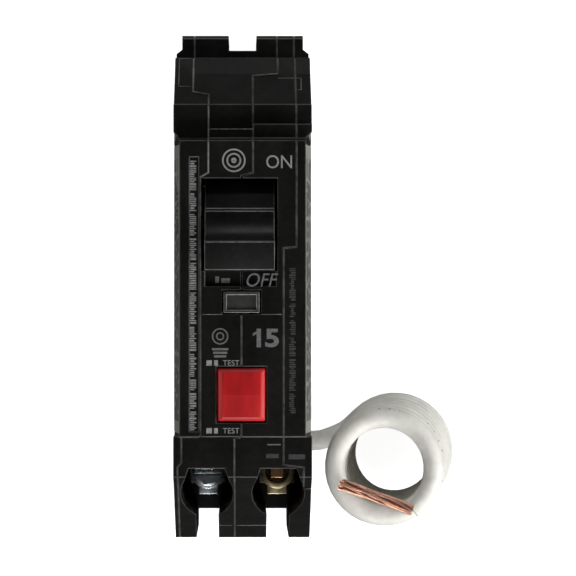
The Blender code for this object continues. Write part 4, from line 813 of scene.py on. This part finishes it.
class PrintLabels(bpy.types.Operator):
    """Lays the two side labels and their blocks of fine print, drawn as plain bars."""
    bl_idname = "breaker.print_labels"
    bl_label = "Print labels"

    def bar(self, bm, side, face, along, heights, middle, half):
        """A bar on a label, which follows the side's slope above the root."""
        x = face - side * max(0.0, middle - LABEL_ROOT) * LABEL_SLOPE
        verts = add_box(bm, (x - half, along[0], heights[0]), (x + half, along[1], heights[1]))
        if middle > LABEL_ROOT:
            lean = Matrix.Identity(4)
            lean[0][2] = -side * LABEL_SLOPE
            bmesh.ops.transform(bm, matrix=lean, space=Matrix.Translation((0, 0, -middle)), verts=verts)

    def fine_print(self, bm, side, face, low, high):
        """Rows of words. Every seventh row is left out and the next one is taller."""
        rows = int((high.z - low.z - 3 * MM) / LABEL_LINE)
        for row in range(rows):
            z = high.z - 2.0 * MM - row * LABEL_LINE
            if row % BLOCK_ROWS == BLOCK_ROWS - 1:
                continue
            tall = 0.9 * MM if row % BLOCK_ROWS else 1.3 * MM
            y = low.y + LABEL_MARGIN
            end = high.y - random.choice(LABEL_LEFT_OUT) * MM
            while y < end:
                word = random.uniform(1.2, 5.2) * MM
                stop = min(y + word, end)
                self.bar(bm, side, face, (y, stop), (z - tall / 2, z + tall / 2), z, 0.015 * MM)
                y = stop + 0.7 * MM

    def upright_marks(self, bm, side, face):
        """A row of upright strokes near the top of the left label."""
        y = MARK_START
        while y < MARK_END:
            stroke = random.choice((0.35, 0.5, 0.9)) * MM
            foot = random.choice((50.4, 51.2, 52.4)) * MM
            self.bar(bm, side, face, (y, y + stroke), (foot, MARK_TOP), MARK_MIDDLE, 0.02 * MM)
            y += stroke + 0.45 * MM

    def execute(self, context):
        for side, node in ((-1, "label_left"), (1, "label_right")):
            eased_copy(node, 0.03 * MM, FINISHES["label_paper"])
            low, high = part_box(node)
            face = (high.x if side > 0 else low.x) + side * LABEL_LIFT
            random.seed(20 + side)
            bm = bmesh.new()
            self.fine_print(bm, side, face, low, high)
            if side < 0:
                self.upright_marks(bm, side, face)
            add_piece(node + "_print", bm, "case", "label_paper", FINISHES["label_ink"])
        return {"FINISHED"}


# ---- front face

STRIP_Z = FACE_Z - 0.3 * MM
DECK_Z = FACE_Z - 2.0 * MM
STEP_Z = FACE_Z - 0.9 * MM
PRINT_SINK = 0.01 * MM
PRINT_THICKNESS = 0.03 * MM
OFF_LEAN = 0.25


def mm(corner):
    """A corner given in millimetres, in metres."""
    return tuple(part * MM for part in corner)


def letters(words, low, high, lean=0.0, weight=0.0):
    """Letters fitted between two corners in millimetres, read with the line end up."""
    low, high = mm(low), mm(high)
    curve = bpy.data.curves.new(words, "FONT")
    curve.body = words
    curve.shear = lean
    curve.offset = weight
    curve.resolution_u = 6
    bm = turned_to_mesh(link_new(words, curve), LETTER_MERGE)
    xs = [vert.co.x for vert in bm.verts]
    ys = [vert.co.y for vert in bm.verts]
    scale = ((high[0] - low[0]) / (max(xs) - min(xs)), (high[1] - low[1]) / (max(ys) - min(ys)))
    fit = Matrix.Translation((low[0], low[1], 0)) @ Matrix.Diagonal((*scale, 1, 1))
    bmesh.ops.transform(bm, matrix=fit @ Matrix.Translation((-min(xs), -min(ys), 0)), verts=bm.verts)
    return bm


def raise_print(bm, foot):
    """Gives flat print its thickness and lifts it onto its face."""
    made = bmesh.ops.extrude_face_region(bm, geom=list(bm.faces))
    top = [item for item in made["geom"] if isinstance(item, bmesh.types.BMVert)]
    bmesh.ops.translate(bm, vec=(0, 0, PRINT_THICKNESS), verts=top)
    bmesh.ops.translate(bm, vec=(0, 0, foot), verts=bm.verts)
    bmesh.ops.recalc_face_normals(bm, faces=bm.faces)
    return bm


def add_ring(bm, centre, outer, inner, steps):
    """A flat ring on the front face."""
    rims = []
    for radius in (outer, inner):
        made = bmesh.ops.create_circle(bm, segments=steps, radius=radius,
                                       matrix=Matrix.Translation((centre[0], centre[1], 0)))
        rims += {edge for vert in made["verts"] for edge in vert.link_edges}
    bmesh.ops.bridge_loops(bm, edges=rims)


def add_patch(bm, low, high):
    """A flat bar on the front face."""
    size = Matrix.Diagonal((high[0] - low[0], high[1] - low[1], 1, 1))
    centre = Matrix.Translation(((low[0] + high[0]) / 2, (low[1] + high[1]) / 2, 0))
    return bmesh.ops.create_grid(bm, x_segments=1, y_segments=1, size=0.5, matrix=centre @ size)["verts"]


def bar_of(*corners):
    """A new mesh of flat bars between pairs of corners in millimetres."""
    bm = bmesh.new()
    for low, high in zip(corners[::2], corners[1::2]):
        add_patch(bm, mm(low), mm(high))
    return bm


def small_print(x, y_top, y_end, tall, seed):
    """A column of fine print that reads down the face, drawn as plain strokes."""
    bm = bmesh.new()
    random.seed(seed)
    y = y_top
    while y > y_end:
        for _ in range(random.randint(6, 16)):
            if y < y_end:
                break
            stroke = random.choice((0.18, 0.22, 0.34)) * MM
            low = x + random.choice((0.0, 0.0, 0.25)) * tall
            high = x + tall * random.choice((1.0, 1.0, 0.75))
            add_patch(bm, (low, y - stroke), (high, y))
            y -= stroke + 0.14 * MM
        y -= 0.40 * MM
    return bm


class PrintFront(bpy.types.Operator):
    """Prints the handle's two positions, the rating, the test words and plain marks on the front face."""
    bl_idname = "breaker.print_front"
    bl_label = "Print front"

    def add(self, name, bm, ink, foot=FACE_Z):
        add_piece(name, raise_print(bm, foot - PRINT_SINK), "case", "case_plastic", FINISHES[ink])

    def rating(self):
        """The number 15: a plain bar with a slanted flag, and a 5."""
        bm = letters("5", (4.1, -11.4), (6.6, -8.0), weight=0.03)
        add_patch(bm, mm((2.55, -11.4)), mm((3.35, -8.0)))
        flag = add_patch(bm, mm((1.85, -9.0)), mm((2.65, -8.5)))
        lean = Matrix.Identity(4)
        lean[1][0] = 0.55
        centre = Matrix.Translation((*mm((-2.5, 8.75)), 0))
        bmesh.ops.transform(bm, matrix=lean, space=centre, verts=flag)
        return bm

    def test_word(self, low, high):
        """The word beside the button, after two small bars."""
        bm = letters("TEST", (-3.6, low), (-0.6, high))
        for left, right in ((-6.6, -5.6), (-5.2, -4.5)):
            add_patch(bm, mm((left, low)), mm((right, high)))
        return bm

    def rings(self, centre, *rims):
        """A plain mark of rings, each given by its outer and inner radius and its steps."""
        bm = bmesh.new()
        for outer, inner, steps in rims:
            add_ring(bm, mm(centre), outer * MM, inner * MM, steps)
        return bm

    def small_mark(self):
        """Rings over three bars that get shorter."""
        centre = (-4.1, -9.4)
        bm = self.rings(centre, (1.5, 1.25, 48), (0.75, 0.5, 32))
        x, middle = mm(centre)
        for row in range(3):
            half = (1.5 - 0.2 * row) * MM
            y = middle - (2.35 + 0.65 * row) * MM
            add_patch(bm, (x - half, y - 0.2 * MM), (x + half, y + 0.2 * MM))
        return bm

    def execute(self, context):
        self.add("word_on", letters("ON", (4.3, 21.2), (9.0, 23.6)), "front_ink")
        self.add("word_off", letters("OFF", (0.7, -0.35), (6.5, 2.1), lean=OFF_LEAN), "strip_ink")
        self.add("rating", self.rating(), "strip_ink")
        self.add("deck_bar", bar_of((4.5, -29.35), (7.0, -29.1)), "strip_ink", DECK_Z)
        self.add("deck_marks", bar_of((4.3, -31.7), (6.6, -30.9), (8.4, -31.9), (11.4, -31.0)),
                 "faint_ink", DECK_Z)
        self.add("step_print", bar_of((-5.0, 0.3), (-4.3, 1.5), (-3.9, 0.3), (-2.3, 1.2)),
                 "strip_ink", STEP_Z)
        self.add("word_test_upper", self.test_word(-14.75, -13.75), "front_ink")
        self.add("word_test_lower", self.test_word(-27.1, -26.1), "front_ink")
        round_mark = self.rings((-1.6, 22.65), (2.15, 1.85, 48), (1.35, 1.05, 48), (0.5, 0.1, 24))
        self.add("round_mark", round_mark, "front_ink")
        self.add("small_mark", self.small_mark(), "strip_ink")
        strip = small_print(-9.85 * MM, 22.6 * MM, -26.4 * MM, 1.4 * MM, seed=5)
        self.add("strip_print", strip, "front_ink", STRIP_Z)
        column = small_print(8.5 * MM, 3.0 * MM, -23.5 * MM, 1.15 * MM, seed=6)
        self.add("column_print", column, "faint_ink")
        return {"FINISHED"}


class FitHandle(bpy.types.Operator):
    """The operating handle, with rubbed edges whose paler colour is also a painted highlight."""
    bl_idname = "breaker.fit_handle"
    bl_label = "Fit handle"

    def execute(self, context):
        width = context.scene.breaker_edges.handle
        eased_copy("handle", width, FINISHES["handle_plastic"], FINISHES["handle_edge"],
                   angle=40, segments=3)
        return {"FINISHED"}


class FitIndicator(bpy.types.Operator):
    """The indicator window and the lamp behind it."""
    bl_idname = "breaker.fit_indicator"
    bl_label = "Fit indicator"

    def execute(self, context):
        # The lens's eased rim is painted pale: a painted highlight.
        eased_copy("indicator_lens", 0.08 * MM, FINISHES["lens_plastic"], FINISHES["lens_frame"])
        eased_copy("indicator_lamp", 0.3 * MM, FINISHES["lamp_plastic"])
        return {"FINISHED"}


SPRING_TURNS = 4.5
SPRING_WIRE = 0.42 * MM
SPRING_STEPS = 28


class FitTestButton(bpy.types.Operator):
    """The red test button over its spring and contact leaf."""
    bl_idname = "breaker.fit_test_button"
    bl_label = "Fit test button"

    def execute(self, context):
        width = context.scene.breaker_edges.button
        bm = taken_from("test_button")
        bmesh.ops.dissolve_limit(bm, angle_limit=math.radians(1), verts=bm.verts, edges=bm.edges)
        low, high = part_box("test_button")
        middle = (low + high) / 2
        everything = bm.verts[:] + bm.edges[:] + bm.faces[:]
        bmesh.ops.bisect_plane(bm, geom=everything, plane_co=middle, plane_no=(0, 1, 0), dist=MERGE)
        ends = [vert for vert in bm.verts
                if high.z - vert.co.z < 0.5 * MM and abs(vert.co.y - middle.y) > 1 * MM]
        bmesh.ops.translate(bm, vec=(0, 0, -context.scene.breaker_edges.button_crown), verts=ends)
        for along_x, offset in ((True, width), (False, 0.4 * width)):
            rim = [edge for edge in bm.edges if all(high.z - vert.co.z < 1.2 * MM for vert in edge.verts)
                   and edge.calc_face_angle() > math.radians(40)
                   and (abs(edge.verts[0].co.y - edge.verts[1].co.y) < 0.1 * MM) == along_x]
            bmesh.ops.bevel(bm, geom=rim, offset=offset, offset_type="OFFSET", affect="EDGES", segments=6,
                            profile=0.5, material=-1, clamp_overlap=True)
        broad = [face for face in bm.faces if face.calc_area() > 10 * MM * MM]
        bmesh.ops.inset_individual(bm, faces=broad, thickness=0.04 * MM, depth=0.0)
        button = add_piece("test_button_cap", bm, "test_button", "button_red", FINISHES["button_red"],
                           crease=50)
        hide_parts("test_button")
        eased_copy("test_contact", 0.05 * MM, FINISHES["copper"])
        spring = wind_spring("button_spring")
        low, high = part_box("button_spring")
        stroke = max(abs(limit) for limit in BUTTON_STROKE)
        keep = 1 - stroke / (high.z - low.z)
        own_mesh(spring)
        return {"FINISHED"}


# ---- terminals and inside

def wind_spring(node):
    """An upright compression spring in the space that its CAD ring holds."""
    low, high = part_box(node)
    across = high - low
    span = across.z - SPRING_WIRE
    radius = min(across.x, across.y) / 2 - SPRING_WIRE / 2
    path = []
    for i in range(round((SPRING_TURNS + 2) * SPRING_STEPS) + 1):
        turn = i / SPRING_STEPS
        rise = min(1.0, max(0.0, (turn - 1) / SPRING_TURNS)) * span
        angle = math.tau * turn
        path.append(Vector((math.cos(angle) * radius, math.sin(angle) * radius, rise - span / 2)))
    place = Matrix.Translation((low + high) / 2)
    bm = wire_mesh(node, [[place @ point for point in path]], SPRING_WIRE)
    finish = FINISHES[SLOT_OF[node]]
    piece = add_piece(node + "_wire", bm, BODY_OF[node], SLOT_OF[node], finish, crease=60)
    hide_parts(node)
    return piece


class FitTerminals(bpy.types.Operator):
    """Both screw terminals: plates, clamps and screws."""
    bl_idname = "breaker.fit_terminals"
    bl_label = "Fit terminals"

    def execute(self, context):
        edges = context.scene.breaker_edges
        for node, width in (("neutral_plate", edges.small), ("neutral_clamp", edges.small),
                            ("neutral_screw", 0.25 * MM), ("power_plate", edges.small),
                            ("power_clamp", 0.18 * MM), ("power_screw", 0.15 * MM),
                            ("neutral_strap", edges.fine), ("neutral_wire", 0.3 * MM)):
            eased_copy(node, width, FINISHES[SLOT_OF[node]], angle=35)
        return {"FINISHED"}


MECHANISM = ("handle_pin", "contact_arm", "contact_arm_pin", "moving_contact", "fixed_contact", "line_jaw",
             "arc_chute", "cradle", "cradle_pin", "toggle_spring", "bimetal", "magnet_yoke", "armature",
             "braid", "load_strap", "calibration_screw")
ELECTRONICS = ("circuit_board", "sense_transformer", "ground_transformer", "capacitor", "varistor",
               "control_chip", "solenoid_frame", "solenoid_coil", "plunger", "plunger_spring")


class FitInside(bpy.types.Operator):
    """The switching mechanism, the electronics and the trip solenoid behind the shells."""
    bl_idname = "breaker.fit_inside"
    bl_label = "Fit inside"

    def execute(self, context):
        width = context.scene.breaker_edges.fine
        for node in MECHANISM + ELECTRONICS:
            eased_copy(node, width, FINISHES[SLOT_OF[node]], angle=35)
        return {"FINISHED"}


# ---- stage

SKY = ((0.0, 0.04), (0.3, 0.06), (0.48, 0.42), (0.60, 0.42), (0.80, 0.04), (1.0, 0.02))
LIGHT_SIZE = 0.35
LIGHT_AIM = Vector((0.01, 0, 0.03))
LIGHTS = {"line_end": ((0.05, 0.72, 0.30), 1.9), "left": ((-0.70, 0.05, 0.26), 0.95),
          "right": ((0.72, -0.20, 0.27), 5.0), "load_end": ((0.05, -0.64, 0.48), 3.8)}
FLOOR_HALF, FLOOR_DROP = 4.0, 0.02 * MM


def floor_finish(colour, glow):
    """A plain pale floor that gives a little light of its own, so that it carries hardly any shadow."""
    finish = Finish(Emission_Strength=glow)
    finish.material.name = "pale_floor"
    finish.feed(finish.shader.inputs["Emission Color"], colour)
    return finish.done(colour, 0.7)


class SetStage(bpy.types.Operator):
    """A plain pale floor, a soft sky that is dark overhead, and soft side lights."""
    bl_idname = "breaker.set_stage"
    bl_label = "Set stage"

    def execute(self, context):
        stage = context.scene.breaker_stage
        bm = bmesh.new()
        bmesh.ops.create_grid(bm, x_segments=8, y_segments=8, size=FLOOR_HALF,
                              matrix=Matrix.Translation((0, 0, -FLOOR_DROP)))
        floor = link_new("floor", stored_mesh("floor", bm, floor_finish(tuple(stage.floor), stage.glow)))
        floor.visible_diffuse = False
        floor.visible_glossy = False

        world = bpy.data.worlds.new("studio")
        context.scene.world = world
        world.use_nodes = True
        sky = NodeMaker(world.node_tree)
        direction = Value(sky, sky.node("ShaderNodeTexCoord").outputs["Generated"])
        height = Value(sky, sky.node("ShaderNodeSeparateXYZ", {}, {0: direction}).outputs[2])
        ramp = sky.node("ShaderNodeValToRGB", {"stops": SKY}, {0: height * 0.5 + 0.5})
        world.node_tree.links.new(ramp.outputs[0], world.node_tree.nodes["Background"].inputs["Color"])

        for name, (place, power) in LIGHTS.items():
            data = bpy.data.lights.new(name + "_light", "AREA")
            data.shape = "SQUARE"
            data.size = LIGHT_SIZE
            data.energy = power
            light = link_new(name + "_light", data)
            light.location = place
            light.rotation_euler = (LIGHT_AIM - Vector(place)).to_track_quat("-Z", "Y").to_euler()

        context.scene.view_settings.view_transform = "Standard"
        return {"FINISHED"}


# ---- panel and running

STEPS = [PlaceCamera, CoilPigtail, MouldShells, FillSeams, SetRivets, PrintLabels, FitHandle, PrintFront,
         FitIndicator, FitTestButton, FitTerminals, FitInside, SetStage]
SETTINGS = {"breaker_colours": BreakerColours, "breaker_edges": BreakerEdges,
            "breaker_pigtail": BreakerPigtail, "breaker_stage": BreakerStage}


class BreakerPanel(bpy.types.Panel):
    """Lists the settings and the steps in the 3D view's sidebar."""
    bl_idname = "VIEW3D_PT_breaker"
    bl_label = "Ground-fault breaker"
    bl_space_type = "VIEW_3D"
    bl_region_type = "UI"
    bl_category = "Breaker"

    def draw(self, context):
        for name, group in SETTINGS.items():
            box = self.layout.box()
            for setting in group.__annotations__:
                box.prop(getattr(context.scene, name), setting)
        for step in STEPS:
            self.layout.operator(step.bl_idname)


def register():
    for group in (*SETTINGS.values(), *STEPS, BreakerPanel):
        bpy.utils.register_class(group)
    for name, group in SETTINGS.items():
        setattr(bpy.types.Scene, name, bpy.props.PointerProperty(type=group))


def unregister():
    for name in SETTINGS:
        delattr(bpy.types.Scene, name)
    for group in (BreakerPanel, *reversed(STEPS), *reversed(SETTINGS.values())):
        bpy.utils.unregister_class(group)


def main():
    register()
    build_finishes()
    for step in STEPS:
        area, name = step.bl_idname.split(".")
        getattr(getattr(bpy.ops, area), name)()


if __name__ == "__main__":
    main()
